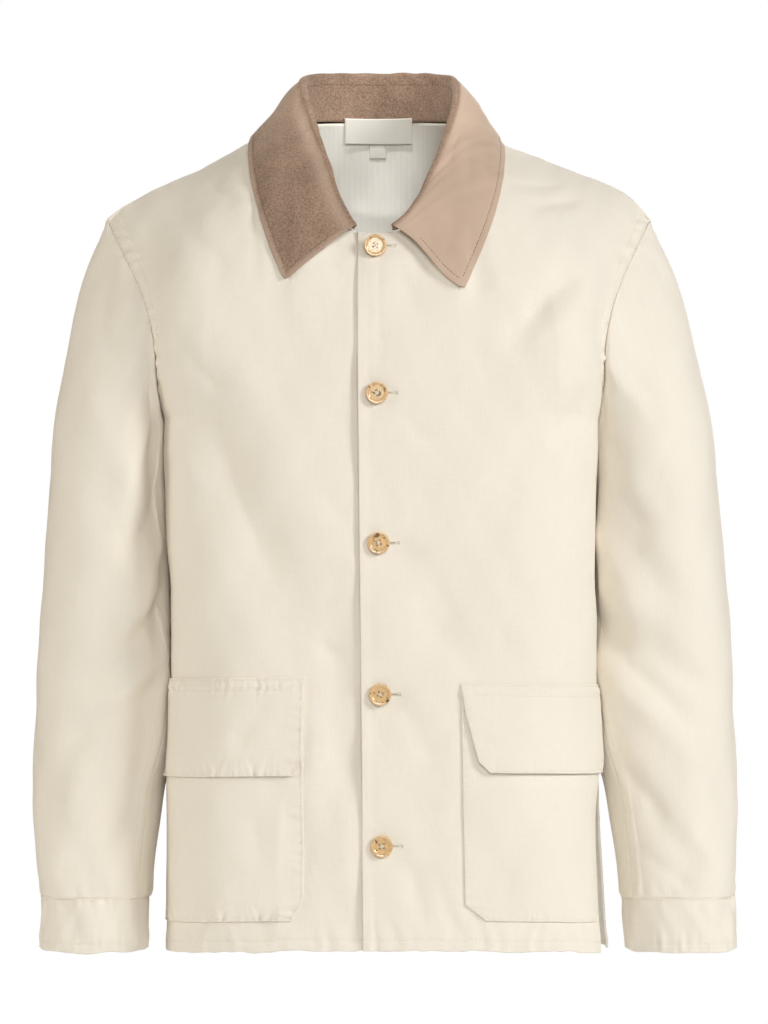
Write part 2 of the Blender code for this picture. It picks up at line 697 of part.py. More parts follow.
def sleeve_outwards(points, side):
    """Direction in which a sleeve's wall is measured, from the middle of the arm."""
    across, depth, top = SLEEVE_HEAD_CORE
    axis = sleeve_axis(np.minimum(points[..., 2], SLEEVE_TOP_RING), side)
    head = np.array((side * across, depth, 0.0))
    rise = ease((points[..., 2] - SLEEVE_TOP_RING) / SLEEVE_HEAD_BLEND)[..., None]
    core = axis * (1 - rise) + head * rise
    core[..., 2] = np.minimum(points[..., 2], top)
    return unit(points - core)


def sleeve_grid(side, first, last):
    """Grid of one piece of a sleeve, rows from the armhole down."""
    rise = np.concatenate((
        np.linspace(0.0, 1.0, SLEEVE_HEAD_ROWS + 1),
        1.0 + np.linspace(0.0, 1.0, SLEEVE_ROWS + 1)[1:],
    ))[:, None]
    columns = round((last - first) / SLEEVE_TURN_STEP)
    turn = first + SLEEVE_TURN_STEP * np.arange(columns + 1)
    turn[0] += SLEEVE_SEAM_GAP
    turn[-1] -= SLEEVE_SEAM_GAP
    return sleeve_point(turn[None, :], rise, side)


def cuff_grid(side):
    """Closed rings of the turned-up band at the end of a sleeve."""
    heights = np.linspace(SLEEVE_END - SEAM_GAP, CUFF_END, CUFF_ROWS + 1)[:, None]
    turn = np.linspace(0.0, 360.0, CUFF_COLUMNS + 1)[:-1][None, :]
    heights, turn = np.broadcast_arrays(heights, turn)
    points = sleeve_ring(heights, turn, side)
    return points + sleeve_outwards(points, side) * CUFF_PROUD


# ------------------------------------------------------------------------ the collar


def collar_start(side):
    return COLLAR_START_LEFT if side > 0 else COLLAR_START_RIGHT


def collar_angles():
    """Neck angles of the collar's columns and their side, at the stitches below."""
    behind = np.linspace(180.0, NECK_SIDE_ANGLE, BACK_NECK_COLUMNS + 1)
    halves = []
    for side in (-1.0, 1.0):
        start = collar_start(side)
        before = np.linspace(NECK_SIDE_ANGLE, start, FRONT_NECK_COLUMNS + 1)
        halves.append(np.concatenate((behind, before[1:])))
    right, left = halves
    sides = np.concatenate((-np.ones(len(right) - 1), np.ones(len(left))))
    return np.concatenate((right[:0:-1], left)), sides


def neck_edge(fronts, back):
    """The panels' own points along the neck, from the collar's right end to the left."""
    last = LAP_COLUMNS + FRONT_NECK_COLUMNS
    middle = back.shape[1] // 2
    left = fronts[1.0][-1, LAP_COLUMNS:last]
    right = fronts[-1.0][-1, LAP_COLUMNS:last]
    behind = back[-1, middle - BACK_NECK_COLUMNS:middle + BACK_NECK_COLUMNS + 1]
    return np.concatenate((right, behind, left[::-1]))


def collar_lines(neck):
    """Neck seam, fold and outer edge of the collar, from the right end to the left."""
    angle, side = collar_angles()
    start = np.where(side > 0, COLLAR_START_LEFT, COLLAR_START_RIGHT)
    reach = (180.0 - angle) / (180.0 - start)
    at_back, at_front = COLLAR_SEAM_RISE
    low, high = COLLAR_SEAM_TURN
    rise = at_back + (at_front - at_back) * ease((reach - low) / (high - low))
    seam = neck + point(0.0 * rise, 0.0 * rise, rise)
    fold_across = np.where(
        side > 0, smooth(COLLAR_FOLD, 1, reach), smooth(COLLAR_FOLD, 2, reach)
    )
    fold = point(
        side * fold_across, smooth(COLLAR_FOLD, 3, reach), smooth(COLLAR_FOLD, 4, reach)
    )
    edge_across = np.where(
        side > 0, smooth(COLLAR_EDGE, 1, reach), smooth(COLLAR_EDGE, 3, reach)
    )
    edge_height = np.where(
        side > 0, smooth(COLLAR_EDGE, 2, reach), smooth(COLLAR_EDGE, 4, reach)
    )
    edge = point(side * edge_across, smooth(COLLAR_EDGE, 5, reach), edge_height)
    return reach, seam, fold, edge


def set_on_cloth(points, cloth, rests, at_least):
    """Moves points to rest on the cloth below, or only off it where they reach in."""
    placed = points.copy()
    for index, (place, way) in enumerate(zip(points, body_outwards(points))):
        direction = Vector(way)
        hit = cloth.ray_cast(Vector(place) + direction * SEARCH, -direction)[0]
        if hit is None:
            continue
        stand_off = (Vector(place) - hit).dot(direction)
        if stand_off < rests[index] or not at_least:
            placed[index] = np.array(hit + direction * rests[index])
    return placed


def collar_middle(cloth, neck):
    """Middle surface of the folded collar: rows from the neck seam over to the edge."""
    reach, seam, fold, edge = collar_lines(neck)
    rest = smooth(COLLAR_REST, 1, reach)
    edge = set_on_cloth(edge, cloth, rest, at_least=False)
    along = unit(np.gradient(fold, axis=0))
    neck_axis = np.array((0.0, (NECK_FRONT + NECK_BACK) / 2, 0.0))
    outwards = unit((fold - neck_axis) * np.array((1.0, 1.0, 0.0)))
    slip = np.sum(outwards * along, axis=-1, keepdims=True)
    outwards = unit(outwards - along * slip)
    rising = unit(np.cross(along, outwards))
    at_back, at_front = COLLAR_FOLD_RADIUS
    radius = (at_back + (at_front - at_back) * ease(reach))[:, None]
    seam = seam - outwards * WALL / 2
    rows = [seam, seam + (fold - outwards * radius - seam) * 0.5]
    for turn in np.radians(COLLAR_FOLD_TURNS):
        rows.append(fold + (outwards * math.cos(turn) + rising * math.sin(turn)) * radius)
    start = rows[-1]
    chord = np.linalg.norm(edge - start, axis=-1)[:, None]
    bulge = smooth(COLLAR_BULGE, 1, reach)[:, None]
    out, up = COLLAR_LEAVE
    leave = unit(outwards * out + rising * up) * chord * bulge
    arrive = unit(unit(edge - start) + np.array((0.0, 0.0, -COLLAR_SAG))) * chord
    for step in np.linspace(0.0, 1.0, FALL_ROWS + 1)[1:-1]:
        fall = run(start, leave, edge, arrive, np.full(len(reach), step))
        rows.append(set_on_cloth(fall, cloth, rest + COLLAR_LIFT, at_least=True))
    rows.append(edge)
    return np.array(rows)


# ------------------------------------------------------------- pockets, flaps, labels


def rise_of(height, across):
    """Panel rise at a height on a front, where it is this far from the middle."""
    share = across / LAP_PATH
    hem = HEM_FRONT + (HEM_SIDE - HEM_FRONT) * share**2
    return (height - hem) / (UNDERARM_HEIGHT - hem)


def between(values, low, high, margin):
    """The values that lie between two others, clear of both."""
    return [value for value in values if low + margin < value < high - margin]


def patch_faces(grid, side, inner, rises, low, lift):
    """Outer and inner faces of a patch, made from the front's points, moved out."""
    reach = front_reach(rises, side)
    shares = np.asarray(inner) / LAP_PATH
    outer = POCKET_OUTER_SHARE - (1.0 - reach)
    columns = front_columns(side)
    middle = between(columns, shares.min(), POCKET_OUTER_SHARE, PATCH_MARGIN)
    squeeze = PATCH_SQUEEZE * np.arange(1, len(middle) + 1)
    start = columns[0]
    rows = []
    for row, rise in enumerate(rises):
        kept = start + (reach[row] - start) * (np.array(middle) - start) / (1 - start)
        kept = np.maximum(kept, shares[row] + squeeze)
        share = np.concatenate(((shares[row],), kept, (outer[row],)))
        rows.append(on_front(grid, side, share, np.full(len(share), rise)))
    points = np.array(rows)
    out = body_outwards(points)
    across = np.linspace(0.0, 1.0, points.shape[1])[None, :]
    off = (low + lift[:, None] * (1.0 - FLAP_LIFT_LOSS * across))[..., None]
    return points + out * (off + PATCH_WALL), points + out * off


def pocket_faces(grid, side):
    """Faces of a patch pocket with a cut-off lower corner."""
    name = "left" if side > 0 else "right"
    edge = POCKET_INNER[name]
    across, up = POCKET_CHAMFER[name]
    bottom = rise_of(POCKET_BOTTOM, edge)
    corner = rise_of(POCKET_BOTTOM + up, edge)
    top = rise_of(POCKET_TOP[name], edge)
    middle = between(panel_rises(), corner, top, PATCH_MARGIN)
    rises = np.array((bottom, corner, *middle, top))
    inner = edge + np.where(rises < corner, across, 0.0)
    return patch_faces(grid, side, inner, rises, PATCH_GAP, np.zeros(len(rises)))


def flap_faces(grid, side):
    """Faces of a pocket flap, whose free edge stands off a little."""
    name = "left" if side > 0 else "right"
    edge = POCKET_INNER[name] - FLAP_OVERLAP
    top = rise_of(FLAP_TOP[name], edge)
    bottom = rise_of(FLAP_BOTTOM[name], edge)
    stops = [top + (bottom - top) * row[0] for row in FLAP_INNER[name]]
    kept = [
        rise for rise in between(panel_rises(), bottom, top, PATCH_MARGIN)
        if min(abs(rise - stop) for stop in stops) > PATCH_MARGIN
    ]
    rises = np.array(sorted([*stops, *kept]))
    down = (top - rises) / (top - bottom)
    shape = np.array(FLAP_INNER[name])
    inner = edge + np.interp(down, shape[:, 0], shape[:, 1])
    low = 2 * PATCH_GAP + PATCH_WALL
    return patch_faces(grid, side, inner, rises, low, FLAP_LIFT[name] * down**FLAP_CURL)


def tag_faces(box, cloth, gap):
    """Faces of a small woven tag that lies against the cloth inside the back."""
    left, right, bottom, top = box
    x = np.linspace(left, right, TAG_GRID[0])[None, :]
    z = np.linspace(bottom, top, TAG_GRID[1])[:, None]
    x, z = np.broadcast_arrays(x, z)
    limit = np.zeros(x.shape)
    for index in np.ndindex(x.shape):
        start = Vector((x[index], 0.0, z[index]))
        hit = cloth.ray_cast(start, Vector((0.0, 1.0, 0.0)))[0]
        limit[index] = hit.y - gap
    down = np.linspace(1.0, 0.0, len(z))[:, None]
    depth = limit[:1] * down + limit[-1:] * (1 - down)
    depth = depth - np.maximum(depth - limit, 0.0).max()
    return point(x, depth - LABEL_WALL, z), point(x, depth, z)


# ------------------------------------------------------------------- solids and nodes


def make_material(name, colour, roughness):
    material = bpy.data.materials.new(name)
    material.use_nodes = True
    shader = material.node_tree.nodes["Principled BSDF"]
    shader.inputs["Base Color"].default_value = colour
    shader.inputs["Roughness"].default_value = roughness
    shader.inputs["Metallic"].default_value = 0.0
    return material


def make_object(name, vertices, faces, material):
    """Adds one named solid, leaned as the garment leans, and in metres."""
    mesh = bpy.data.meshes.new(name)
    placed = np.array(vertices, dtype=float).reshape(-1, 3)
    placed[:, 0] -= LEAN * placed[:, 2]
    mesh.from_pydata((placed * MM).tolist(), [], faces)
    mesh.materials.append(material)
    shape = bmesh.new()
    shape.from_mesh(mesh)
    bmesh.ops.recalc_face_normals(shape, faces=shape.faces)
    shape.to_mesh(mesh)
    shape.free()
    mesh.shade_smooth()
    mesh.set_sharp_from_angle(angle=math.radians(SHARP_ANGLE))
    item = bpy.data.objects.new(name, mesh)
    bpy.context.collection.objects.link(item)
    return item


def grid_faces(rows, columns, closed=False):
    """Triangles over a grid of points, its quads split the same way everywhere."""
    faces = []
    for row in range(rows - 1):
        for column in range(columns if closed else columns - 1):
            a = row * columns + column
            b = row * columns + (column + 1) % columns
            faces.append((a, b, b + columns))
            faces.append((a, b + columns, a + columns))
    return faces


def sheet_faces(rows, columns, closed):
    """Faces of a wall: both sides of a grid and the strips round its edges."""
    inner = rows * columns
    outside = grid_faces(rows, columns, closed)
    faces = outside + [(c + inner, b + inner, a + inner) for a, b, c in outside]
    edges = []
    for base in (0, inner - columns):
        for column in range(columns if closed else columns - 1):
            edges.append((base + column, base + (column + 1) % columns))
    if not closed:
        for base in (0, columns - 1):
            for row in range(rows - 1):
                edges.append((base + row * columns, base + (row + 1) * columns))
    return faces + [(a, b, b + inner, a + inner) for a, b in edges]


def make_sheet(name, outer, inner, material, closed=False):
    rows, columns = outer.shape[:2]
    vertices = np.concatenate((outer.reshape(-1, 3), inner.reshape(-1, 3)))
    return make_object(name, vertices, sheet_faces(rows, columns, closed), material)


def cloth_tree(grids):
    """Search tree over the faces of some grids, to lay things on them."""
    vertices, faces = [], []
    for grid in grids:
        base = len(vertices)
        vertices.extend(Vector(place) for place in grid.reshape(-1, 3))
        for face in grid_faces(*grid.shape[:2]):
            faces.append([base + corner for corner in face])
    return BVHTree.FromPolygons(vertices, faces)


def make_button(name, height, cloth, material):
    """A turned button with a rim, set against the outer front on the closure line."""
    radius = BUTTON_PROFILE[1][0]
    nearest = 0.0
    for dx, dz in ((0, 0), (radius, 0), (-radius, 0), (0, radius), (0, -radius)):
        start = Vector((CLOSURE + dx, NECK_FRONT - SEARCH, height + dz))
        hit = cloth.ray_cast(start, Vector((0.0, 1.0, 0.0)))[0]
        nearest = min(nearest, hit.y)
    back = nearest - BUTTON_GAP
    vertices = [(CLOSURE, back, height)]
    turns = np.radians(np.arange(BUTTON_SIDES) * 360.0 / BUTTON_SIDES)
    for ring_radius, rise in BUTTON_PROFILE:
        for turn in turns:
            x = CLOSURE + ring_radius * math.cos(turn)
            vertices.append((x, back - rise, height + ring_radius * math.sin(turn)))
    vertices.append((CLOSURE, back - BUTTON_PROFILE[-1][1], height))
    faces = []
    last_ring = len(BUTTON_PROFILE) - 1
    for step in range(BUTTON_SIDES):
        following = (step + 1) % BUTTON_SIDES
        faces.append((0, 1 + step, 1 + following))
        for ring in range(last_ring):
            a = 1 + ring * BUTTON_SIDES
            b = a + BUTTON_SIDES
            faces.append((a + step, a + following, b + following, b + step))
        top = 1 + last_ring * BUTTON_SIDES
        faces.append((len(vertices) - 1, top + following, top + step))
    return make_object(name, vertices, faces, material)


def main():
    for item in list(bpy.data.objects):
        bpy.data.objects.remove(item)

    cotton = make_material("cotton_twill", CREAM, 0.85)
    suede = make_material("taupe_suede", SUEDE, 0.95)
    horn = make_material("honey_horn", HORN, 0.3)
    tape = make_material("woven_tape", TAPE, 0.8)

    fronts = {side: front_grid(side) for side in (1.0, -1.0)}
    back = back_grid()
    for name, grid in (
        ("front_left", fronts[1.0]), ("front_right", fronts[-1.0]), ("back", back)
    ):
        make_sheet(name, grid, grid - body_outwards(grid) * WALL, cotton)

    for word, side in (("left", 1.0), ("right", -1.0)):
        upper = sleeve_grid(side, SLEEVE_FRONT_SEAM, SLEEVE_BACK_SEAM)
        under = sleeve_grid(side, SLEEVE_BACK_SEAM - 360.0, SLEEVE_FRONT_SEAM)
        for piece, grid in (("upper", upper), ("under", under)):
            inner = grid - sleeve_outwards(grid, side) * WALL
            make_sheet(f"sleeve_{word}_{piece}", grid, inner, cotton)
        cuff = cuff_grid(side)
        inner = cuff - sleeve_outwards(cuff, side) * (WALL + CUFF_PROUD)
        make_sheet(f"cuff_{word}", cuff, inner, cotton, closed=True)
        make_sheet(f"pocket_{word}", *pocket_faces(fronts[side], side), cotton)
        make_sheet(f"flap_{word}", *flap_faces(fronts[side], side), cotton)

    outer_cloth = cloth_tree((fronts[1.0], fronts[-1.0], back))
    middle = collar_middle(outer_cloth, neck_edge(fronts, back))
    half_wall = grid_normals(middle) * COLLAR_WALL / 2
    make_sheet("collar", middle + half_wall, middle - half_wall, suede)

    lap_front = cloth_tree((fronts[1.0],))
    for number, height in enumerate(BUTTON_HEIGHTS, start=1):
        make_button(f"button_{number}", height, lap_front, horn)

    inside = cloth_tree((
        back - body_outwards(back) * WALL, middle - half_wall, middle + half_wall,
    ))
    make_sheet("label", *tag_faces(LABEL, inside, TAG_GAP), tape)
    make_sheet("size_tab", *tag_faces(SIZE_TAB, inside, TAG_GAP), tape)


main()
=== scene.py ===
"""Looks of a barn jacket: cream cotton twill, taupe suede collar and horn buttons.

Each cloth piece is a thin shell over its solid in the frame, worked out from the same
sections and seams as the solid, with its creases, puckered seams and sewing added. The
origin is the middle of the neck; +X is the wearer's left, -Y the front, +Z up. Sizes are
millimetres unless a name says otherwise, and the mesh makers turn them into metres.
"""

import math
from functools import lru_cache
from types import SimpleNamespace

import bmesh
import bpy
import numpy as np
from mathutils import Matrix, Vector
from mathutils.bvhtree import BVHTree


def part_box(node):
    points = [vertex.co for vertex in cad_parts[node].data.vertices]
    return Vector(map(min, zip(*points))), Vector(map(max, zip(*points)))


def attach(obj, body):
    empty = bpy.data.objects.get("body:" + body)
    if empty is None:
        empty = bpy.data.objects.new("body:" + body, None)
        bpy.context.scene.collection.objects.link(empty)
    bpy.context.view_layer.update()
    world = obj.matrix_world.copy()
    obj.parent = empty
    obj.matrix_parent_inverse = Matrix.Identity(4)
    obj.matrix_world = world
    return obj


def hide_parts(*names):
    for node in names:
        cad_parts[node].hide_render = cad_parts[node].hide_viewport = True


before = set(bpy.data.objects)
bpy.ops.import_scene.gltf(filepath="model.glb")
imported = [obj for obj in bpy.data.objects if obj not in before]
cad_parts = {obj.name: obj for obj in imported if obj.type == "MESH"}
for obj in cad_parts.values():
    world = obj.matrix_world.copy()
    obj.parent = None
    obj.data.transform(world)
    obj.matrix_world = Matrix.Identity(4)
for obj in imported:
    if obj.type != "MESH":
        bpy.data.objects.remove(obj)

bl_info = {
    "name": "Barn jacket",
    "version": (1, 0, 0),
    "blender": (4, 5, 0),
    "location": "3D View > Sidebar > Jacket",
    "description": "Cloth, suede, sewing and buttons of a worn barn jacket",
    "category": "Object",
}

BODY = "root"
MM = 0.001
WORD = {1.0: "left", -1.0: "right"}      # sides of the wearer, by the sign of X

# ------------------------------------------------- the garment's sizes, as in its solids

WALL = 1.8                  # cotton twill, with its seam allowances
SEAM_GAP = 0.3              # between two pieces that are sewn to each other
LEAN = 0.0108               # the whole garment leans to the wearer's right as it rises

UNDERARM_HEIGHT = -260.0
SIDE_SEAM_DEPTH = -8.0      # Y of both side seams
BOXINESS = {"front": 3.2, "back": 2.7}      # exponents of the level sections
HEM_FRONT = -716.5          # the hem drops a little from the front to the back
HEM_SIDE = -727.5
HEM_BACK = -731.5

BODY_SECTIONS = (
    # height, half width, front depth, back depth
    (-733, 196, 133, 128),
    (-600, 190.5, 131, 122),
    (-450, 188, 129, 113),
    (-260, 192, 123, 116),
)

WALL_CORE_WIDTH = 0.75      # walls are measured from a flat core this wide inside
WALL_CORE_TOP = -120.0

NECK_HALF_WIDTH = 75.0
NECK_FRONT = -95.0          # Y of the neck seam at the front and at the back
NECK_BACK = 65.0
NECK_AXIS = np.array((0.0, (NECK_FRONT + NECK_BACK) / 2, 0.0))
NECK_SIDE_ANGLE = 104.0     # where the shoulder seam meets the neck, from the front
NECK_SEAM = (
    # angle from the front, height
    (0, -98),
    (15, -96),
    (30, -82.5),
    (45, -59),
    (60, -34),
    (80, -10),
    (104, 4),
    (140, 11),
    (180, 12),
)

SHOULDER_SETTLE = 1 / 6     # part of the shoulder seam that eases into its own height
SHOULDER_RIDGE = (
    # across, height on the wearer's left, height on the wearer's right
    (72, 5, 5),
    (125, -16, -16),
    (156, -29, -31),
    (178, -37.5, -42),
    (195, -43.5, -50.5),
    (213, -52, -60.5),
    (230, -65, -70),
    (242, -79, -79.5),
)

ARMHOLE_FRONT = (
    # share of the way up, across, depth, height
    (0.00, 192, -8, -260),
    (0.13, 193.5, -38, -250),
    (0.28, 195.5, -64, -222),
    (0.40, 197, -72, -194),
    (0.50, 201.5, -69, -170),
    (0.61, 209, -57, -147),
    (0.73, 218.5, -42, -126),
    (0.85, 230, -21, -103),
    (1.00, 242, 5, -79.5),
)
ARMHOLE_BACK = (
    # share of the way up, across, depth, height
    (0.00, 192, -8, -260),
    (0.14, 193.5, 25, -248),
    (0.30, 197, 48, -222),
    (0.42, 201, 57, -195),
    (0.55, 206, 58, -166),
    (0.68, 214, 51, -138),
    (0.83, 226, 34, -108),
    (1.00, 242, 5, -79.5),
)

NECK_SHARE = 0.30           # part of a panel's top edge that the neck takes
NECK_SPREAD = {"front": 1.26, "back": 1.0}  # above 1, columns crowd towards the closure
ARMHOLE_REACH = 0.25        # panel share from which the armhole shapes a panel
ARMHOLE_EASE = 1.6
TOP_DIRECTIONS = (
    # share, across, backwards, up: how the columns of a front run into the top edge
    (0, 0, 0.34, 0.94),
    (0.15, 0, 0.60, 0.80),
    (0.30, 0, 0.93, 0.37),
    (0.60, 0, 0.98, 0.20),
    (1, 0.10, 0.99, 0.10),
)
CHEST_FULLNESS = 1.15       # how far a column keeps its direction at either end
BLADE_FULLNESS = 1.05

CLOSURE = -3.0              # X of the line of buttons
LAP = 16.5                  # each front passes the line of buttons by this
LAP_LIFT = 1.5              # the outer front stands out, the inner one lies back
LAP_SETBACK = 1.3
LAP_FADE = 36.0             # where the two are level with the body again
EDGE_ROLL = 2.2             # the outer front's edge stands out this much more
EDGE_ROLL_WIDTH = 11.0
LAP_PATH = 312.0            # length of half a level section at the closure
EDGE_ROLL_TOP = (-110.0, -170.0)    # heights between which that sets in
VENT_TOP = -556.0           # side vent, which falls open on the wearer's left
VENT_FADE = 150.0
VENT_CUT_BACK = 0.085
VENT_SWING = 9.0
VENT_SHARES = (0.72, 0.92)  # panel shares where the swing starts and is full

SLEEVE_TOP_RING = -300.0    # level ring where the sleeve's head ends
SLEEVE_END = -677.0
CUFF_END = -725.0
SLEEVE_ROUNDNESS = 2.25
SLEEVE_RINGS = (
    # height, inner, outer on the wearer's left, outer on the right, front, back
    (-726, 211.5, 309, 305, -72, 24),
    (-677, 209.5, 308, 304.5, -73, 27),
    (-650, 207.5, 310.5, 309, -71, 35),
    (-614, 202.5, 312.5, 311.5, -66, 45),
    (-578, 197, 313, 312.5, -61, 56),
    (-543, 187, 313, 312, -57, 68),
    (-507, 183, 311.5, 310, -55, 78),
    (-436, 181, 309, 305, -57, 88),
    (-365, 182, 304.5, 300.5, -64, 87),
    (-300, 185, 297.5, 293.5, -70, 82),
)
SLEEVE_HEAD_CORE = (214.0, -2.0, -170.0)    # middle of the arm inside the shoulder
SLEEVE_HEAD_BLEND = 60.0    # height over which the wall's core turns towards it
HEAD_FULLNESS = 0.6         # how far the sleeve keeps the shoulder's direction
HEAD_LEAVE = (0.05, 0.60, 0.8)      # how it leaves the armhole outwards: low, more, power
HEAD_FORWARD = 0.36
HEAD_DOWN = 0.80
HEAD_SPREAD = 0.10          # outwards still at the level ring, on the outer side
SLEEVE_FOLD_START = (0.75, 1.15)    # rise where folds set in, and where they end
SLEEVE_FOLD_END = (1.97, 1.82)
RIGHT_FOLDS_TURN = 1.08     # the right sleeve's folds lie further round than the left's
SLEEVE_FRONT_SEAM = 36.0    # degrees round the arm from its inner side, by the front
SLEEVE_BACK_SEAM = 252.0
SLEEVE_SEAM_GAP = 0.2       # degrees
SLEEVE_TWIST = (
    # height, degrees by which the seams turn in towards the body
    (-677, 0),
    (-560, 0),
    (-510, 2),
    (-475, 11),
    (-436, 19),
    (-365, 21),
    (-300, 15),
)
SLEEVE_CLEARANCE = 1.6      # between a sleeve and the side of the body
SLEEVE_CLEAR_FADE = 12.0
SLEEVE_STITCH = 1.5 * SEAM_GAP      # from the armhole's edge, outwards
CUFF_PROUD = 0.6            # the turned-up band is thicker than the sleeve

SEARCH = 150.0              # how far outside its place a point looks for the cloth below
COLLAR_WALL = 2.0
COLLAR_FOLD_RADIUS = (3.0, 1.7)     # at the back and at the front ends
COLLAR_SEAM_RISE = (0.4, 1.7)       # from the panels, at the back and at the front ends
COLLAR_SEAM_TURN = (0.70, 0.88)     # shares between which that changes
COLLAR_LEAVE = (0.9, -0.4)          # how the fall leaves the fold: outwards, up
COLLAR_SAG = 0.35                   # how it drops onto the edge
COLLAR_REST = (
    # share from the back to the end, from the cloth to the middle of the collar's edge
    (0, 3.5),
    (0.3, 3.4),
    (0.42, 3.7),
    (0.55, 3),
    (0.75, 2.4),
    (1, 2.4),
)
COLLAR_LIFT = 0.9           # further off it between the fold and the edge
COLLAR_BULGE = (
    # share from the back to the end, how strongly the fall rolls outwards
    (0, 0.9),
    (0.3, 1.5),
    (0.6, 1.5),
    (1, 0.7),
)
COLLAR_START_LEFT = 9.2     # neck angle where the collar starts on each side
COLLAR_START_RIGHT = 16.4
COLLAR_FOLD = (
    # share from the back to the end, across on the left, on the right, depth, height
    (0.00, 0, 0, 62, 53),
    (0.12, 30, 30, 58, 52.8),
    (0.25, 57, 56, 44, 51),
    (0.36, 69, 66.5, 24, 45),
    (0.45, 71, 65, 6, 33),
    (0.55, 66.5, 59, -16, 11.5),
    (0.65, 59.5, 52.5, -38, -11),
    (0.75, 51, 45, -58, -34),
    (0.85, 38.5, 36.5, -80, -62),
    (0.93, 25, 27.5, -92.5, -82.5),
    (1.00, 12.5, 20.8, -99.5, -93),
)
COLLAR_EDGE = (
    # share, across and height on the wearer's left, then on the right, depth
    (0.00, 0, 0, 0, 0, 76),
    (0.12, 38, 0, 38, 0, 72),
    (0.25, 74, -4, 74, -4, 56),
    (0.36, 98, -9, 99, -9, 30),
    (0.45, 108, -12, 109.5, -12, 6),
    (0.55, 111.5, -22, 113, -21, -22),
    (0.65, 109.5, -43, 111.5, -42, -50),
    (0.75, 104, -68, 107, -66, -74),
    (0.85, 95, -96, 100.5, -91, -93),
    (0.93, 85, -121, 92.5, -115, -105),
    (1.00, 72.5, -149, 82, -141, -114),
)

POCKET_INNER = {"left": 67.5, "right": 70.0}      # X of the inner edge
POCKET_TOP = {"left": -492.0, "right": -488.0}
POCKET_BOTTOM = -691.0
POCKET_CHAMFER = {"left": (19.0, 14.0), "right": (11.0, 20.0)}   # across, up
POCKET_OUTER_SHARE = 0.93
FLAP_TOP = {"left": -487.0, "right": -482.0}
FLAP_BOTTOM = {"left": -563.5, "right": -566.5}
FLAP_INNER = {
    # share of the way down, inset of the inner edge
    "left": ((0, 0), (0.35, 4), (0.88, 14.5), (1, 25)),
    "right": ((0, 0), (0.35, 0.3), (0.78, 1.5), (1, 9)),
}
FLAP_LIFT = {"left": 3.2, "right": 1.4}           # how far its free edge stands off
FLAP_LIFT_LOSS = 0.5        # part of that lift lost from its inner to its outer edge
FLAP_CURL = 1.5             # power of the lift's growth down the flap
PATCH_WALL = 1.4
PATCH_GAP = 0.35
FLAP_OVERLAP = 0.5          # the flap's inner edge passes the pocket's by this

BUTTON_HEIGHTS = (-109.5, -237.5, -366.5, -496.5, -626.5)
LABEL = (-29.5, 31.0, -7.0, 15.5)        # left, right, bottom, top
SIZE_TAB = (-7.8, 7.6, -19.5, -7.35)
LABEL_WALL = 0.8
TAG_GAP = 0.7

FOLD_OVERRUN = 0.12         # a fold runs past its ends by this part of its length
FOLD_TAPER = 0.35           # and fades over this part
FOLD_CEILING = -60.0        # there are none above this height or along the side seams
FOLD_SEAM_CLEAR = 8.0
FOLD_FADE = 60.0
FRONT_FOLDS = (
    # across and height where it starts, then where it ends, width, depth (+ is a ridge)
    (-172, -215, -62, -480, 24, -4.6),
    (-128, -190, -50, -390, 22, 3),
    (-44, -400, -36, -600, 15, -3.4),
    (176, -122, 112, -196, 17, -4.6),
    (16, -370, 74, -480, 20, -4),
    (150, -330, 120, -470, 24, 3),
    (-120, -470, -150, -700, 26, 2.4),
    (30, -640, 26, -716, 14, -1.8),
)
BACK_FOLDS = (
    # across and height where it starts, then where it ends, width, depth (+ is a ridge)
    (-168, -190, -88, -330, 22, -5.4),
    (170, -184, 96, -350, 24, -5),
    (-60, -330, -74, -640, 26, 4.6),
    (66, -360, 58, -690, 28, 4),
    (4, -420, -6, -700, 24, -3.8),
    (-128, -400, -138, -700, 24, -4.2),
    (128, -440, 132, -716, 22, -3.6),
)
SLEEVE_FOLDS = (
    # height and degrees round the arm where it starts, then where it ends, width, depth
    (-330, 60, -420, 120, 17, -4),
    (-385, 35, -440, 95, 15, 3.4),
    (-425, 50, -500, 135, 17, -3.8),
    (-520, 120, -650, 150, 18, -3),
    (-350, 300, -470, 225, 18, -4.2),
    (-470, 320, -560, 240, 17, 3.4),
    (-600, 60, -660, 110, 15, -2.6),
)

# ------------------------------------------------------------ more of the scene's sizes

CUFF_COLUMNS = 170          # points round a cuff
CUFF_WRINKLE = 0.9
CUFF_PUCKER = 0.5
CUFF_EDGE_WAVE = 0.7         # how unevenly its lower edge runs
CUFF_STITCH = 40.0          # from its top down to its row of stitches
SLEEVE_HEAD_LENGTH = 170.0  # lengths by which the rows and columns are spaced
COLLAR_HALF_LENGTH = 262.0
COLLAR_FALL = 104.0
COLLAR_END_ROWS = 30.0      # from the neck seam, where the rows along its ends begin
COLLAR_NAP_AND_SHADE = (0.35, 0.55, 0.15)     # shares from the back where the light leaf turns to the dark one, partly nap and partly painted shade: smooth by, rough from, over
NAP_RUBBED = (0.5, 1.0, 3.5)        # rubbed edges of the rough leaf: how light, off, over
NAP_ROLL = (0.45, 5.0, 7.0)         # and its roll just past the fold
COLLAR_TAUT = 0.78          # share from which the collar's ends are drawn straight
COLLAR_TAUTNESS = 0.85
COLLAR_STITCH_SHARE = 0.75  # its stitches against the others
COLLAR_CURL = 1.1           # how far the left leaf's end lifts
COLLAR_SWAY = 2.2           # how far the left leaf's end bends from straight
COLLAR_CORNER = 4.0         # how far round its points are
COLLAR_BAND = 0.60          # share to which a row of stitches runs under the fold
STAND_ROWS = 13
FOLD_ROWS = 9
EVEN_PASSES = 8
SUEDE_WAVE = 0.35
SUEDE_PITCH = (61.0, 27.0)
EDGES = ("left", "right", "bottom", "top")
EDGE_ROUND = (0.2, 0.55)    # how far a sewn edge is drawn in, and a free one

